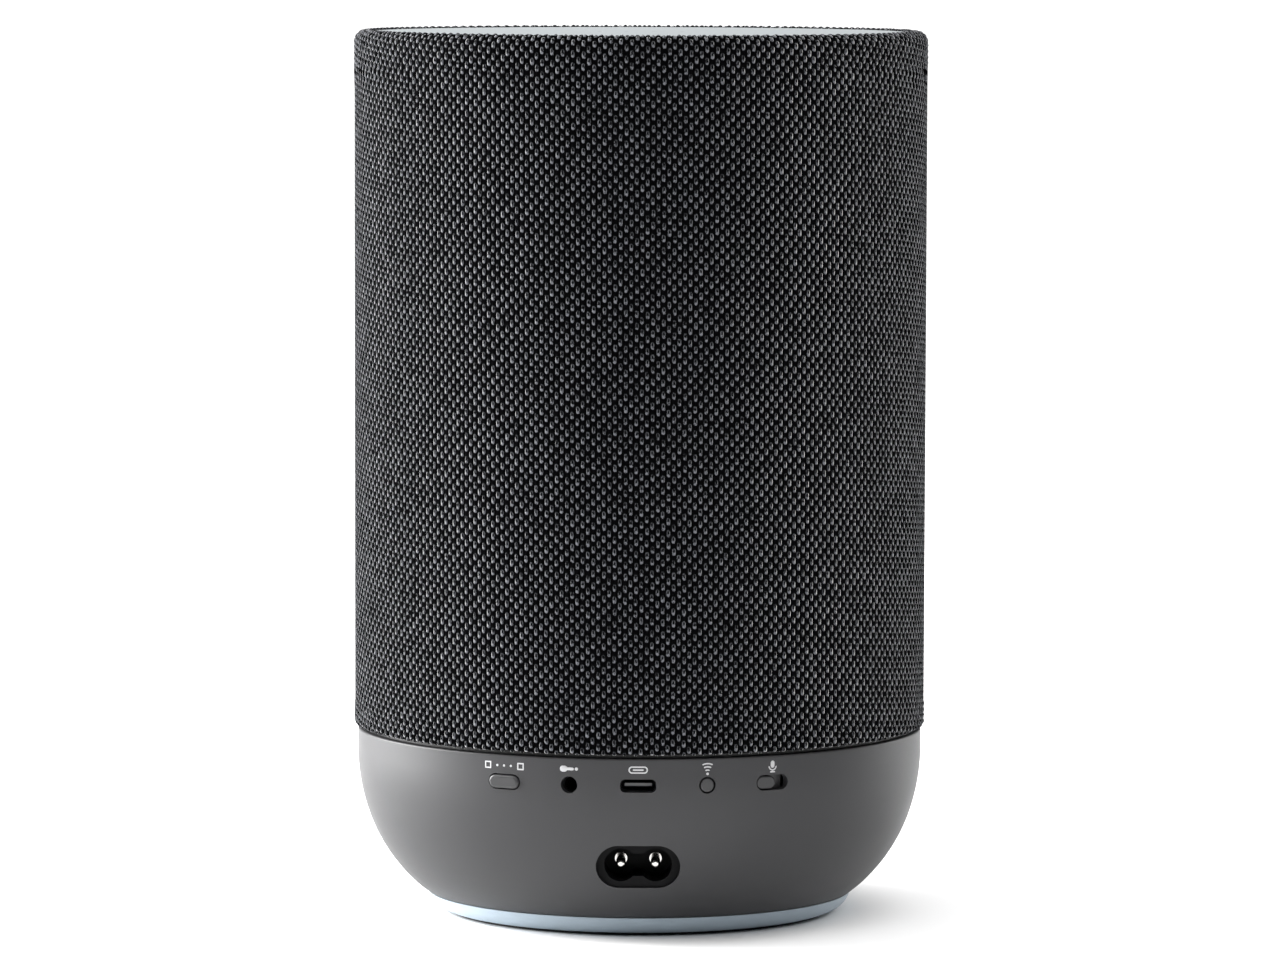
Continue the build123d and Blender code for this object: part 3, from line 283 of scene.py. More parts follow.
def winding(name, colour):
    """Enamelled wire laid in even turns one above the other."""
    finish = Finish(name, metallic=1.0, coat_weight=0.6, coat_roughness=0.12)
    place = finish.where()
    height = finish.split(place)[2]
    wire = 0.28 * MM
    turn = finish.math("FRACT", finish.math("DIVIDE", height, wire))
    crown = finish.math("SINE", finish.math("MULTIPLY", turn, pi))
    # painted shade: the colour falls to a third of the wire's own towards the valleys between the turns
    finish.give("Base Color", finish.blend(crown, rgba(colour, 0.35), rgba(colour)))
    finish.give("Roughness", finish.scale(finish.noise(place, 0.6 * MM), 0.2, 0.38))
    finish.relief(crown, 0.1 * MM)
    return finish.material


def board(name, colour):
    """Circuit board: solder resist over copper tracks, with bright pads here and there."""
    finish = Finish(name, specular_ior_level=0.6)
    place = finish.where()
    x, y, _ = finish.split(place)
    tile, half_pitch = 1.2 * MM, 0.3 * MM
    pad_share, solder = 0.93, (0.72, 0.68, 0.6)
    lane = finish.chance(finish.joined(finish.math("SNAP", x, tile), finish.math("SNAP", y, tile)))
    run_x = finish.math("PINGPONG", x, half_pitch)
    run_y = finish.math("PINGPONG", y, half_pitch)
    turned = finish.math("GREATER_THAN", lane, 0.5)
    run = finish.math("ADD", finish.math("MULTIPLY", run_x, turned),
                      finish.math("MULTIPLY", run_y, finish.math("SUBTRACT", 1.0, turned)))
    track = finish.ease(run, 0.1 * MM, 0.16 * MM)
    pad = finish.math("MULTIPLY", finish.math("GREATER_THAN", lane, pad_share),
                      finish.ease(finish.cells(finish.joined(x, y), tile), 0.32, 0.26))
    mask = finish.blend(track, rgba(colour, 0.55), rgba(colour, 1.25))
    finish.give("Base Color", finish.blend(pad, mask, rgba(solder)))
    finish.give("Metallic", pad)
    finish.give("Roughness", finish.scale(finish.noise(place, 2 * MM), 0.28, 0.45))
    finish.relief(finish.math("ADD", track, pad), 0.035 * MM)
    return finish.material


def paper(name, colour):
    """Pressed pulp: short fibres lying every way."""
    finish = Finish(name)
    place = finish.where()
    lays = (1.0, 0.25, 0.6), (0.25, 1.0, 0.6)
    fibres, crossed = (finish.noise(finish.stretched(place, lay), 0.5 * MM, detail=5.0, roughness=0.7)
                       for lay in lays)
    felt = finish.math("MAXIMUM", fibres, crossed)
    finish.give("Base Color", finish.blend(felt, rgba(colour, 0.5), rgba(colour, 1.6)))
    finish.give("Roughness", finish.scale(felt, 0.7, 0.92))
    finish.relief(felt, 0.06 * MM)
    return finish.material


def cloth(name, colour):
    """Plain-woven cloth stiffened with resin: threads over and under at right angles."""
    finish = Finish(name, specular_ior_level=0.35)
    place = finish.where()
    x, y, _ = finish.split(place)
    thread_pair = 0.55 * MM
    warp, weft = (finish.math("SINE", finish.math("MULTIPLY", part, tau / thread_pair)) for part in (x, y))
    weave = finish.scale(finish.math("MULTIPLY", warp, weft), 0.5, 1.0)
    slub = finish.noise(place, 1.5 * MM, detail=3.0)
    # the tone is partly painted shade, darker where the weave dips between the threads, and partly the
    # slub's real unevenness
    tone = finish.math("MULTIPLY", weave, finish.scale(slub, 0.7, 1.2), clamp=True)
    finish.give("Base Color", finish.blend(tone, rgba(colour, 0.45), rgba(colour, 1.1)))
    finish.give("Roughness", finish.scale(slub, 0.55, 0.75))
    finish.relief(weave, 0.12 * MM)
    return finish.material


def tape(name, colour):
    """Shiny polyester tape wound round the transformer, with the edges of its turns showing."""
    finish = Finish(name, coat_weight=0.5, coat_roughness=0.1)
    place = finish.where()
    tape_width = 4.4 * MM
    sway = finish.math("MULTIPLY", finish.noise(place, 9 * MM), MM)
    height = finish.math("ADD", finish.split(place)[2], sway)
    turn = finish.math("FRACT", finish.math("DIVIDE", height, tape_width))
    # painted shade: the colour darkens in a narrow band at the edge of each turn of tape
    edge = finish.ease(turn, 0.0, 0.06)
    finish.give("Base Color", finish.blend(edge, rgba(colour, 0.45), rgba(colour)))
    finish.give("Roughness", finish.scale(finish.noise(place, 4 * MM, detail=3.0), 0.18, 0.34))
    finish.relief(edge, 0.06 * MM)
    return finish.material


def flex(name, colour):
    """Thin film cable: copper tracks running up it under amber film."""
    finish = Finish(name, specular_ior_level=0.6)
    place = finish.where()
    half_pitch = 0.25 * MM
    across = finish.math("PINGPONG", finish.split(place)[0], half_pitch)
    track = finish.ease(across, 0.1 * MM, 0.14 * MM)
    finish.give("Base Color", finish.blend(track, rgba(colour, 0.6), rgba(colour, 1.3)))
    finish.give("Metallic", finish.scale(track, 0.0, 0.35))
    finish.give("Roughness", finish.scale(finish.noise(place, 3 * MM), 0.22, 0.4))
    finish.relief(track, 0.02 * MM)
    return finish.material


def light_guide(name, colour):
    """Clear rod that carries a status light up to the panel, lightly frosted."""
    finish = Finish(name, transmission_weight=0.75, ior=1.49)
    place = finish.where()
    frost = finish.noise(place, 0.3 * MM, detail=3.0)
    finish.give("Base Color", finish.blend(frost, rgba(colour, 0.9), rgba(colour)))
    finish.give("Roughness", finish.scale(frost, 0.2, 0.4))
    finish.relief(frost, 0.01 * MM)
    return finish.material


def ferrite(name, colour):
    """Sintered magnet: dark, slightly sugary, with small chips."""
    finish = Finish(name)
    place = finish.where()
    sugar = finish.noise(place, 0.3 * MM, detail=4.0, roughness=0.7)
    chips = finish.ease(finish.cells(place, 4 * MM), 0.05, 0.12)
    finish.give("Base Color", finish.blend(sugar, rgba(colour, 0.6), rgba(colour, 1.3)))
    finish.give("Roughness", finish.scale(sugar, 0.5, 0.8))
    finish.relief(finish.math("ADD", sugar, chips), 0.04 * MM)
    return finish.material


def knit(name, light_yarn, dark_yarn_and_shade):
    """Two-tone knit read from the weave map: one column per unit across, one stitch per unit along.

    Each stitch is an upright oval of light yarn with a small dark eye above its middle and a
    bright belly below; neighbouring columns are half a stitch apart, and dark yarn fills the rest.
    The dark yarn's colour is partly the yarn's own and partly painted shade, which darkens the
    gaps between the stitches and each eye.
    Sizes are shares of a column's width and of a stitch's height, from the stitch's middle.
    """
    finish = Finish(name, specular_ior_level=0.0, sheen_roughness=0.3)
    weave = finish.node("ShaderNodeUVMap", uv_map="weave").outputs[0]
    across, along, _ = finish.split(weave)
    column = finish.math("FLOOR", across)
    stagger = finish.math("MULTIPLY", finish.math("MODULO", column, 2.0), 0.5)
    shifted = finish.math("ADD", along, stagger)
    stitch = finish.math("FLOOR", shifted)
    brightness, lean, gaze = (finish.chance(finish.joined(column, stitch, 7.3 * draw + 0.5))
                              for draw in range(3))

    most_lean, most_fray = 0.07, 0.26
    wander = finish.scale(lean, -most_lean, most_lean)
    x = finish.math("ADD", finish.math("SUBTRACT", finish.math("FRACT", across), 0.5), wander)
    y = finish.math("SUBTRACT", finish.math("FRACT", shifted), 0.5)
    fuzz = finish.noise(finish.stretched(weave, (1.0, 2.2, 1.0)), 0.22, detail=3.0, roughness=0.7)
    fray = finish.scale(fuzz, -most_fray, most_fray)

    def oval(centre, half_width, half_height, squareness=2.0):
        """Distance from an oval's middle, 1 on its edge; more squareness fills its corners."""
        above = finish.math("SUBTRACT", y, centre)
        wide = finish.math("ABSOLUTE", finish.math("DIVIDE", x, half_width))
        tall = finish.math("ABSOLUTE", finish.math("DIVIDE", above, half_height))
        powers = (finish.math("POWER", part, squareness) for part in (wide, tall))
        return finish.math("POWER", finish.math("ADD", *powers), 1 / squareness)

    # edges of the stitch, of the dark eye above its middle and of the bright belly below it
    body = oval(0.0, half_width=0.37, half_height=0.31, squareness=3.0)
    stitch_mask = finish.ease(finish.math("ADD", body, fray), 1.08, 0.8)
    pupil = oval(finish.scale(gaze, 0.04, 0.12), half_width=0.16, half_height=0.16)
    eye = finish.ease(finish.math("ADD", pupil, fray), 0.7, 1.15)
    belly = finish.ease(oval(-0.16, half_width=0.24, half_height=0.11), 1.5, 0.5)
    strands = finish.noise(finish.stretched(weave, (1.0, 0.7, 1.0)), 0.17, detail=1.0, roughness=0.6)

    # how bright the light yarn is: by the stitch's own draw, towards the belly and along its strands
    glow = finish.math("MULTIPLY", finish.scale(brightness, 0.35, 0.9), finish.scale(belly, 0.5, 2.2))
    glow = finish.math("MULTIPLY", glow, finish.ease(strands, 0.36, 0.62, 0.12, 1.7))
    open_stitch = finish.math("MULTIPLY", stitch_mask, finish.scale(eye, 0.05, 1.0))
    light = finish.math("MULTIPLY", open_stitch, glow, clamp=True)
    # the dark yarn colour is partly painted shade: it darkens the gaps between the stitches and each eye
    thread = finish.blend(finish.ease(strands, 0.35, 0.8), rgba(dark_yarn_and_shade, 0.55), rgba(dark_yarn_and_shade, 1.9))
    finish.give("Base Color", finish.blend(light, thread, rgba(light_yarn)))
    finish.give("Sheen Weight", finish.math("MULTIPLY", light, 5.0, clamp=True))
    finish.give("Roughness", finish.scale(strands, 0.6, 0.85))
    dome = finish.math("MULTIPLY", finish.ease(body, 1.15, 0.2), finish.scale(eye, 0.6, 1.0))
    finish.relief(finish.math("ADD", dome, finish.math("MULTIPLY", strands, 0.35)), 0.3 * MM)
    return finish.material


def printed(name, colour):
    """Pad-printed ink: flat, very slightly uneven at its edges."""
    finish = Finish(name)
    place = finish.where()
    ink = finish.noise(place, 0.2 * MM, detail=3.0)
    finish.give("Base Color", finish.blend(ink, rgba(colour, 0.88), rgba(colour, 1.05)))
    finish.give("Roughness", finish.scale(ink, 0.45, 0.6))
    finish.relief(ink, 0.006 * MM)
    return finish.material


def floor_paint(name, colour):
    """Matt studio floor with a trace of roller texture."""
    finish = Finish(name, specular_ior_level=0.2)
    place = finish.where()
    nap = finish.noise(place, 3 * MM, detail=3.0)
    finish.give("Base Color", finish.blend(nap, rgba(colour, 0.985), rgba(colour)))
    finish.give("Roughness", finish.scale(nap, 0.7, 0.8))
    return finish.material


def dress(nodes, material):
    """Gives CAD nodes this one material in place of their own."""
    for node in nodes:
        mesh = frame["nodes"][node].data
        mesh.materials.clear()
        mesh.materials.append(material)


def nodes_of(slot):
    """The CAD nodes whose finish is one of the record's material slots."""
    return [part["node"] for part in frame["record"]["subparts"] if part["material_slot"] == slot]


# ---------------------------------------------------------------- settings
def length_setting(name, description, default):
    return bpy.props.FloatProperty(name=name, description=description, default=default, min=0.0,
                                   subtype="DISTANCE", unit="LENGTH", precision=5)


def colour_setting(name, description, default):
    return bpy.props.FloatVectorProperty(name=name, description=description, default=default, size=3,
                                         min=0.0, max=1.0, subtype="COLOR")


def number_setting(name, description, default):
    return bpy.props.FloatProperty(name=name, description=description, default=default, min=0.0)


def angle_setting(name, description, default):
    return bpy.props.FloatProperty(name=name, description=description, default=default,
                                   subtype="ANGLE", unit="ROTATION")


class SleeveSettings(bpy.types.PropertyGroup):
    """The knitted sleeve."""

    columns: bpy.props.IntProperty(
        name="Columns", description="Columns of stitches round the sleeve", default=346, min=8)
    stitch: length_setting("Stitch", "Height of one stitch along a column", 2.95 * MM)
    spiral: bpy.props.IntProperty(
        name="Spiral", description="Stitches that the rows climb in one turn", default=15)
    thickness: length_setting("Thickness", "Thickness of the knit", 0.85 * MM)
    rim_roll: length_setting("Rim roll", "Radius of the rolled top edge", 3.0 * MM)
    hem_roll: length_setting("Hem roll", "Radius of the lower edge", 0.7 * MM)
    groove: length_setting("Groove", "Depth between two columns", 0.42 * MM)
    knot: length_setting("Knot", "How far a stitch stands out from the knots above and below it",
                         0.2 * MM)
    light_yarn: colour_setting("Light yarn", "Colour of the stitches", (0.15, 0.155, 0.172))
    # partly painted shade: this near-black darkens the gaps between the stitches and each stitch's eye
    dark_yarn_and_shade: colour_setting("Dark yarn", "Colour between the stitches", (0.0018, 0.0018, 0.002))


class CasingSettings(bpy.types.PropertyGroup):
    """The moulded outside parts."""

    base: colour_setting("Base", "Colour of the bowl-shaped base", (0.028, 0.028, 0.030))
    buttons: colour_setting("Buttons", "Colour of the caps and the slide", (0.026, 0.026, 0.0275))
    ring: colour_setting("Foot ring", "Colour of the pale ring at the foot", (0.34, 0.41, 0.47))
    panel: colour_setting("Top panel", "Colour of the round top panel", (0.32, 0.342, 0.352))
    # the inlet colour is partly the plastic's own black and partly painted shade in the wells of the inlet
    # and sockets
    inlet: colour_setting("Inlet", "Colour of the inlet and sockets", (0.004, 0.004, 0.0045))
    marks: colour_setting("Marks", "Colour of the printed marks", (0.46, 0.46, 0.47))
    stroke: length_setting("Stroke", "Width of a line in the printed marks", 0.34 * MM)


class StageSettings(bpy.types.PropertyGroup):
    """Floor, light and camera."""

    floor: colour_setting("Floor", "Colour of the floor", (0.93, 0.93, 0.93))
    overhead: number_setting("Overhead", "Strength of the soft light from above", 4.4)
    left: number_setting("Left", "Power of the large light on the left, in watts", 80.0)
    right: number_setting("Right", "Power of the narrow light on the right, in watts", 9.0)
    surroundings: number_setting("Surroundings", "Brightness of the room", 0.02)
    distance: length_setting("Distance", "From the camera to the speaker's axis", 1.7263)
    height: length_setting("Height", "Height of the camera above the floor", 0.2558)
    turn: angle_setting("Turn", "How far round to the right the camera stands", radians(0.2))
    tilt: angle_setting("Tilt", "How far down the camera looks", 0.08424)
    roll: angle_setting("Roll", "How far the camera leans over", 0.00266)
    lens: bpy.props.FloatProperty(
        name="Lens", description="Focal length", default=190.46, subtype="DISTANCE_CAMERA")


# ---------------------------------------------------------------- knitted sleeve
def sleeve_outline(settings):
    """Outline of the sleeve's outer face, from the hem up the wall, over the rim and into the tuck.

    A quarter circle at the hem, an upright line, a quarter circle at the rim, a short flat top, a
    quarter circle as wide as the knit is thick, and a short line down. Returns radius, height, the
    outward direction's two parts, the distance along, and how finely each line is set, from 0 to 1.
    """
    hem, rim, tuck = settings.hem_roll, settings.rim_roll, settings.thickness
    flat_top = 0.5 * MM
    crest, mouth = SLEEVE_RADIUS - rim, SLEEVE_RADIUS - rim - flat_top
    fine_gap, fine_lines = 0.74 * MM, 8
    low_end = SLEEVE_BOTTOM + fine_lines * fine_gap
    high_end = SLEEVE_TOP - rim - fine_lines * fine_gap

    def arc(middle_r, middle_z, radius, start, end, steps):
        angle = np.linspace(start, end, steps + 1)[:-1]
        out_r, out_z = np.cos(angle), np.sin(angle)
        return middle_r + radius * out_r, middle_z + radius * out_z, out_r, out_z, np.ones(steps)

    def line(start, end, out, steps, fineness):
        share = np.linspace(0, 1, steps + 1)[:-1]
        spread = np.ones(steps)
        return (start[0] + (end[0] - start[0]) * share, start[1] + (end[1] - start[1]) * share,
                out[0] * spread, out[1] * spread, fineness * spread)

    outward, upward, inward = (1, 0), (0, 1), (-1, 0)
    wall = SLEEVE_RADIUS
    stretches = [
        arc(wall - hem, SLEEVE_BOTTOM + hem, hem, -pi / 2, 0, steps=4),
        line((wall, SLEEVE_BOTTOM + hem), (wall, low_end), outward, steps=6, fineness=1.0),
        line((wall, low_end), (wall, high_end), outward, steps=27, fineness=0.0),
        line((wall, high_end), (wall, SLEEVE_TOP - rim), outward, steps=fine_lines, fineness=1.0),
        arc(crest, SLEEVE_TOP - rim, rim, 0, pi / 2, steps=8),
        line((crest, SLEEVE_TOP), (mouth, SLEEVE_TOP), upward, steps=1, fineness=1.0),
        arc(mouth, SLEEVE_TOP - tuck, tuck, pi / 2, pi, steps=3),
        line((mouth - tuck, SLEEVE_TOP - tuck), (mouth - tuck, SLEEVE_TOP - 2 * tuck), inward,
             steps=2, fineness=0.0),
    ]
    radius, height, out_r, out_z, fineness = (np.concatenate(part) for part in zip(*stretches))
    step = np.hypot(np.diff(radius), np.diff(height))
    return radius, height, out_r, out_z, np.concatenate([[0.0], np.cumsum(step)]), fineness


def knitted_sleeve(settings):
    """The sleeve as one closed skin: its outer face with the columns in relief, and a plain inner face.

    A point's angle is its share of the turn. Its outward shift is the groove's depth times the crown
    less 1, plus the knot times the crown times the wave less its rest. The crown is the height of a
    half circle across the column, and the wave is a cosine turned over along the column, one turn
    to a stitch, that is flat where the lines lie far apart.
    """
    radius, height, out_r, out_z, along, fineness = sleeve_outline(settings)
    inner = np.array(INNER_LINES)
    thickness = np.where(inner == 0, HEM_THICKNESS, settings.thickness)
    inner_radius = radius[inner] - out_r[inner] * thickness
    inner_height = height[inner] - out_z[inner] * thickness

    count = settings.columns * POINTS_PER_COLUMN
    place = np.arange(count)
    across = place / POINTS_PER_COLUMN
    skew = settings.spiral / settings.columns
    pattern = along[:, None] / settings.stitch + skew * across[None, :]
    crown = np.sqrt(1 - (2 * (across % 1) - 1) ** 2)[None, :]
    stagger = 0.5 * (np.floor(across) % 2)[None, :]
    wave, wave_rest = -np.cos(tau * (pattern + stagger)) * fineness[:, None], 0.6
    shift = settings.groove * (crown - 1) + settings.knot * crown * (wave - wave_rest)

    outer_r = radius[:, None] + out_r[:, None] * shift
    outer_z = height[:, None] + out_z[:, None] * shift
    all_r = np.vstack([outer_r, np.repeat(inner_radius[:, None], count, axis=1)])
    all_z = np.vstack([outer_z, np.repeat(inner_height[:, None], count, axis=1)])
    angle = pi / 2 + tau * place / count
    points = np.stack([all_r * np.cos(angle), all_r * np.sin(angle), all_z], axis=-1)

    rows = len(all_r)
    faces = grid_faces(rows, count, close_rows=True, close_columns=True)
    piece = mesh_piece("knitted_sleeve", points, faces)
    row_along = np.concatenate([along, along[inner], along[:1]]) / settings.stitch
    left, right = across, across + 1 / POINTS_PER_COLUMN
    corner_across = np.stack([left, right, right, left], axis=-1)
    low, high = row_along[:-1, None], row_along[1:, None]
    corner_along = np.stack([np.broadcast_to(row, (rows, count)) for row in (low, low, high, high)],
                            axis=-1)
    corner_across = np.broadcast_to(corner_across[None], corner_along.shape)
    corner_map(piece, "weave", corner_across, corner_along + skew * corner_across)
    return piece, along[-1]


class SPEAKER_OT_sleeve(bpy.types.Operator):
    """Make the knitted sleeve that wraps the speaker"""

    bl_idname = "speaker.sleeve"
    bl_label = "Knitted Sleeve"

    def execute(self, context):
        settings = context.scene.speaker_sleeve
        piece, cut = knitted_sleeve(settings)
        piece.data.materials.append(knit("two_tone_knit", settings.light_yarn, settings.dark_yarn_and_shade))
        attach(piece, "housing")
        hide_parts("fabric_sleeve")
        return {"FINISHED"}


# ---------------------------------------------------------------- moulded casing
class SPEAKER_OT_casing(bpy.types.Operator):
    """Finish the base, the foot, the top panel and the controls"""

    bl_idname = "speaker.casing"
    bl_label = "Casing and Controls"

    def execute(self, context):
        settings = context.scene.speaker_casing
        smooth = 0.006 * MM
        dress(nodes_of("dark_plastic"), moulded("base_plastic", settings.base, shine=0.36))
        dress(nodes_of("button_plastic"), moulded("button_plastic", settings.buttons, gloss=(0.34, 0.46)))
        dress(nodes_of("pale_blue_plastic"), moulded("ring_plastic", settings.ring, depth=smooth,
                                                     gloss=(0.34, 0.44), tone=0.04))
        dress(nodes_of("pale_plastic"), moulded("panel_plastic", settings.panel, depth=smooth,
                                                gloss=(0.3, 0.4), tone=0.03))
        # near-black: partly the inlet's own black plastic, partly painted shade in the wells of the inlet
        # and sockets; the USB shell wears it as painted shade inside the USB mouth
        sockets = moulded("inlet_plastic", settings.inlet, depth=smooth, gloss=(0.45, 0.55), tone=0.1,
                          shine=0.1)
        dress([*nodes_of("inlet_plastic"), "usb_shell"], sockets)
        dress(["usb_tongue"], moulded("tongue_plastic", colour=(0.09, 0.09, 0.095), gloss=(0.15, 0.22),
                                      tone=0.1))
        dress(nodes_of("foot_rubber"), rubber("foot_rubber", colour=(0.02, 0.02, 0.021)))
        return {"FINISHED"}


class SPEAKER_OT_insides(bpy.types.Operator):
    """Finish the drivers, the sealed box, the boards and the wiring"""

    bl_idname = "speaker.insides"
    bl_label = "Insides"

    def execute(self, context):
        dress(nodes_of("black_plastic"), moulded("inner_plastic", colour=(0.012, 0.012, 0.0125),
                                                 gloss=(0.5, 0.65)))
        dress(nodes_of("circuit_board"), board("solder_resist", colour=(0.012, 0.11, 0.05)))
        dress(nodes_of("clear_light_guide"), light_guide("light_guide", colour=(0.85, 0.88, 0.92)))
        dress(nodes_of("steel"), metal("zinc_plate", colour=(0.62, 0.62, 0.65), roughness=0.3))
        dress(nodes_of("plated_pins"), metal("bright_plate", colour=(0.55, 0.54, 0.52), roughness=0.12,
                                             streak=(1.0, 0.05, 1.0), depth=0.001 * MM))
        dress(nodes_of("aluminium"), metal("satin_aluminium", colour=(0.75, 0.76, 0.78), roughness=0.35))
        dress(nodes_of("copper"), winding("voice_coil_wire", colour=(0.72, 0.33, 0.16)))
        dress(nodes_of("black_metal"), moulded("powder_coat", colour=(0.014, 0.014, 0.015),
                                               grain=0.5 * MM, depth=0.04 * MM, gloss=(0.4, 0.55)))
        dress(nodes_of("ferrite"), ferrite("ferrite", colour=(0.06, 0.06, 0.065)))
        dress(nodes_of("cone_paper"), paper("cone_paper", colour=(0.035, 0.035, 0.038)))
        dress(nodes_of("spider_cloth"), cloth("resin_cloth", colour=(0.48, 0.33, 0.12)))
        dress(nodes_of("soft_rubber"), rubber("surround_rubber", colour=(0.014, 0.014, 0.014)))
        dress(nodes_of("transformer_wrap"), tape("winding_tape", colour=(0.75, 0.5, 0.03)))
        dress(nodes_of("flex_cable"), flex("amber_film", colour=(0.45, 0.2, 0.04)))
        return {"FINISHED"}


# ---------------------------------------------------------------- printed marks
def stroke_grid(path, width):
    """A flat band along a path, with round ends: rows run along it and two columns lie either side.

    Half the width at a point is that of a half circle wherever an end is nearer than half the width.
    """
    path = np.asarray(path, float)
    step = np.hypot(*np.diff(path, axis=0).T)
    along = np.concatenate([[0.0], np.cumsum(step)])
    cap = width / 2
    near = np.minimum(along, along[-1] - along)
    half = cap * np.sqrt(np.clip(1 - np.clip(1 - near / cap, 0, 1) ** 2, 0, 1))
    heading = np.gradient(path, along, axis=0)
    heading /= np.hypot(*heading.T)[:, None]
    side = np.stack([-heading[:, 1], heading[:, 0]], axis=1) * half[:, None]
    return np.stack([path - side, path, path + side], axis=1)


def closer_at_the_ends(steps):
    """Numbers from 0 to 1, closer together near both: half of 1 less the cosine of an even turn."""
    return (1 - np.cos(np.linspace(0, pi, steps + 1))) / 2


def straight(start, end, width):
    """A line from start to end with round ends."""
    share = closer_at_the_ends(16)
    start, end = np.asarray(start, float), np.asarray(end, float)
    return stroke_grid(start + (end - start) * share[:, None], width)


def bow(middle, radius, start, end, width):
    """An arc of a circle, its angles in degrees, with round ends."""
    angle = np.radians(start + (end - start) * closer_at_the_ends(24))
    path = np.stack([middle[0] + radius * np.cos(angle), middle[1] + radius * np.sin(angle)], axis=1)
    return stroke_grid(path, width)


def dot(middle, radius):
    """A filled disc: a line as short as it is wide."""
    return straight((middle[0] - radius, middle[1]), (middle[0] + radius, middle[1]), 2 * radius)


def pill(length, height, width):
    """Outline of a pill: two straights and two bows, each a stroke that overlaps the next."""
    reach, radius, half_turn = (length - height) / 2, (height - width) / 2, 115
    return [
        straight((-reach - width, radius), (reach + width, radius), width),
        straight((-reach - width, -radius), (reach + width, -radius), width),
        bow((reach, 0), radius, -half_turn, half_turn, width),
        bow((-reach, 0), radius, 180 - half_turn, 180 + half_turn, width),
    ]


def box_outline(middle, size, width):
    """A small square outline of four strokes, each as long as the square is wide."""
    reach, half = size / 2, (size - width) / 2
    x, y = middle
    return [
        straight((x - reach, y - half), (x + reach, y - half), width),
        straight((x - reach, y + half), (x + reach, y + half), width),
        straight((x - half, y - reach), (x - half, y + reach), width),
        straight((x + half, y - reach), (x + half, y + reach), width),
    ]


def mark_strokes(width):
    """The strokes of the five printed marks, in millimetres about each mark's middle.

    Each mark is given with the number of ports between it and the middle one, left being negative.
    """
    boxes = [box_outline((x, 0), 1.8, width) for x in (-4.55, 4.55)]
    dots = [dot((x, 0), 0.3) for x in (-1.9, 0, 1.9)]
    pair = [*boxes[0], *boxes[1], *dots]

    handle = straight((-2.3, 0), (-0.35, 0), width=1.5)
    shaft = straight((-0.9, 0), (1.25, 0), width=0.72)
    tip = dot((1.9, 0), radius=0.42)

    outline = pill(length=4.8, height=1.8, width=width)
    tongue = straight((-1.35, 0), (1.35, 0), width=0.4)

    source = dot((0, -1.15), radius=0.34)
    waves = [bow((0, -1.35), radius, 62, 118, width) for radius in (1.15, 1.95, 2.75)]

    capsule = straight((0, -0.35), (0, 1.45), width=1.1)
    cradle = bow((0, 0.1), 0.98, 180, 360, width)
    stem = straight((0, -0.8), (0, -1.4), width)
    foot = straight((-0.7, -1.35), (0.7, -1.35), width)

    return {
        "mark_pair": (-2, pair),
        "mark_audio": (-1, [handle, shaft, tip]),
        "mark_socket": (0, [*outline, tongue]),
        "mark_wireless": (1, [source, *waves]),
        "mark_microphone": (2, [capsule, cradle, stem, foot]),
    }


def printed_mark(name, place, strokes):
    """Strokes wrapped onto the base just under its lip: x runs round the rim, y runs up it."""
    points, faces, start = [], [], 0
    for layer, stroke in enumerate(strokes):
        rows, columns, _ = stroke.shape
        angle = place * PORT_PITCH + stroke[..., 0] * MM / LIP_RADIUS
        radius = LIP_RADIUS + MARK_LIFT + STROKE_GAP * layer
        height = MARK_HEIGHT + stroke[..., 1] * MM
        wrapped = np.stack([radius * np.sin(angle), -radius * np.cos(angle), height], axis=-1)
        points.append(wrapped.reshape(-1, 3))
        faces.append(grid_faces(rows, columns)[:, ::-1] + start)
        start += rows * columns
    return mesh_piece(name, np.vstack(points), np.vstack(faces))


class SPEAKER_OT_marks(bpy.types.Operator):
    """Print the small plain marks above the ports"""

    bl_idname = "speaker.marks"
    bl_label = "Printed Marks"

    def execute(self, context):
        settings = context.scene.speaker_casing
        ink = printed("mark_ink", settings.marks)
        for name, (place, strokes) in mark_strokes(settings.stroke / MM).items():
            piece = printed_mark(name, place, strokes)
            piece.data.materials.append(ink)
            film = piece.modifiers.new("film", "SOLIDIFY")
            film.thickness = INK_THICKNESS
            film.offset = 1.0
            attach(piece, "housing")
        return {"FINISHED"}


# ---------------------------------------------------------------- stage
def aimed(position, target):
    """The turn that points an object's own -Z from position towards target."""
    return (Vector(position) - Vector(target)).to_track_quat("Z", "Y").to_euler()


def soft_box(name, position, target, width, tall, power):
    """A flat light aimed at a point, itself unseen by the camera."""
    light = bpy.data.lights.new(name, "AREA")
    light.shape, light.size, light.size_y, light.energy = "RECTANGLE", width, tall, power
    lamp = bpy.data.objects.new(name, light)
    lamp.location = position
    lamp.rotation_euler = aimed(position, target)
    lamp.visible_camera = False
    bpy.context.scene.collection.objects.link(lamp)


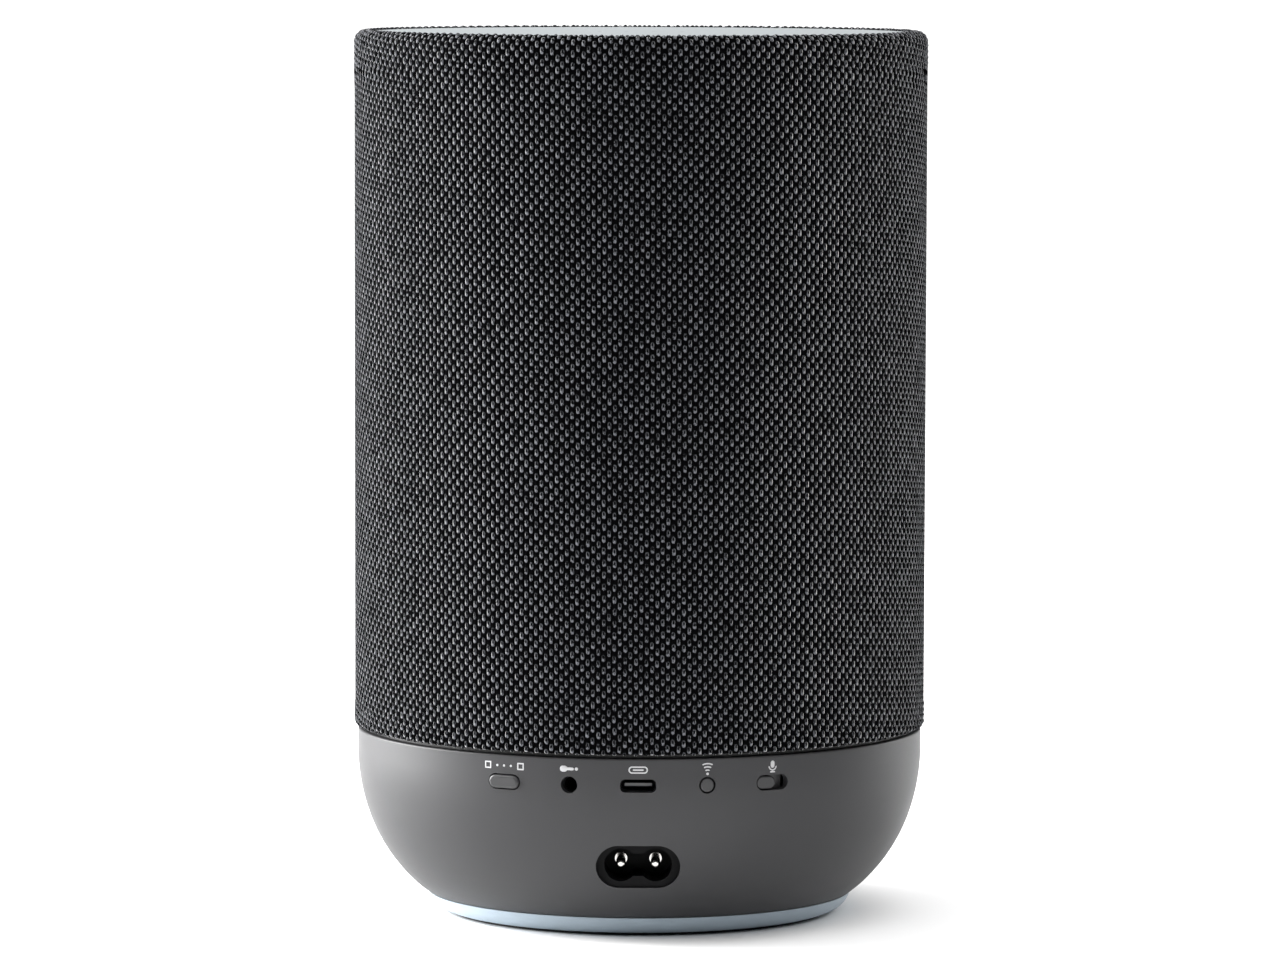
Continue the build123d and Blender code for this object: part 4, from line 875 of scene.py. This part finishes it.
class SPEAKER_OT_stage(bpy.types.Operator):
    """Lay the pale floor, hang the lights and set up the camera"""

    bl_idname = "speaker.stage"
    bl_label = "Stage"

    def execute(self, context):
        settings = context.scene.speaker_stage
        reach = np.linspace(-FLOOR_REACH, FLOOR_REACH, FLOOR_LINES)
        x, y = np.meshgrid(reach, reach)
        points = np.stack([x, y, np.zeros_like(x)], axis=-1)
        floor = mesh_piece("studio_floor", points, grid_faces(FLOOR_LINES, FLOOR_LINES))
        floor.data.materials.append(floor_paint("floor_paint", settings.floor))

        sun = bpy.data.lights.new("overhead_light", "SUN")
        sun.energy, sun.angle = settings.overhead, OVERHEAD_SPREAD
        overhead = bpy.data.objects.new("overhead_light", sun)
        context.scene.collection.objects.link(overhead)
        middle = (0.0, 0.0, SLEEVE_TOP / 2)
        soft_box("left_light", LEFT_PLACE, middle, LEFT_WIDTH, LEFT_TALL, settings.left)
        soft_box("right_light", RIGHT_PLACE, middle, RIGHT_WIDTH, RIGHT_TALL, settings.right)

        world = bpy.data.worlds.new("studio_room")
        world.use_nodes = True
        air = world.node_tree.nodes["Background"]
        air.inputs["Color"].default_value = (1.0, 1.0, 1.0, 1.0)
        air.inputs["Strength"].default_value = settings.surroundings
        context.scene.world = world

        lens = bpy.data.cameras.new("camera")
        lens.lens, lens.sensor_width = settings.lens, SENSOR_WIDTH
        camera = bpy.data.objects.new("camera", lens)
        away = Vector((settings.distance * sin(settings.turn), -settings.distance * cos(settings.turn),
                       settings.height))
        turn = (Matrix.Rotation(settings.turn, 4, "Z") @ Matrix.Rotation(pi / 2 - settings.tilt, 4, "X")
                @ Matrix.Rotation(settings.roll, 4, "Z"))
        camera.matrix_world = Matrix.Translation(away) @ turn
        context.scene.collection.objects.link(camera)
        context.scene.camera = camera
        context.scene.view_settings.view_transform = "Standard"
        return {"FINISHED"}


# ---------------------------------------------------------------- panel and registration
class SPEAKER_PT_panel(bpy.types.Panel):
    """Buttons and settings for the speaker"""

    bl_label = "Fabric Speaker"
    bl_space_type = "VIEW_3D"
    bl_region_type = "UI"
    bl_category = "Speaker"

    def draw(self, context):
        groups = (
            (context.scene.speaker_sleeve, (SPEAKER_OT_sleeve,)),
            (context.scene.speaker_casing, (SPEAKER_OT_casing, SPEAKER_OT_insides, SPEAKER_OT_marks)),
            (context.scene.speaker_stage, (SPEAKER_OT_stage,)),
        )
        for settings, operators in groups:
            box = self.layout.box()
            for key in settings.bl_rna.properties.keys():
                if key not in ("rna_type", "name"):
                    box.prop(settings, key)
            for operator in operators:
                box.operator(operator.bl_idname)


SETTINGS = {
    "speaker_sleeve": SleeveSettings,
    "speaker_casing": CasingSettings,
    "speaker_stage": StageSettings,
}
OPERATORS = (SPEAKER_OT_sleeve, SPEAKER_OT_casing, SPEAKER_OT_insides, SPEAKER_OT_marks, SPEAKER_OT_stage)


def register():
    for name, group in SETTINGS.items():
        bpy.utils.register_class(group)
        setattr(bpy.types.Scene, name, bpy.props.PointerProperty(type=group))
    for cls in (*OPERATORS, SPEAKER_PT_panel):
        bpy.utils.register_class(cls)


def unregister():
    for cls in reversed((*OPERATORS, SPEAKER_PT_panel)):
        bpy.utils.unregister_class(cls)
    for name, group in SETTINGS.items():
        delattr(bpy.types.Scene, name)
        bpy.utils.unregister_class(group)


def main():
    register()
    bpy.ops.speaker.sleeve()
    bpy.ops.speaker.insides()
    bpy.ops.speaker.casing()
    bpy.ops.speaker.marks()
    bpy.ops.speaker.stage()


if __name__ == "__main__":
    main()
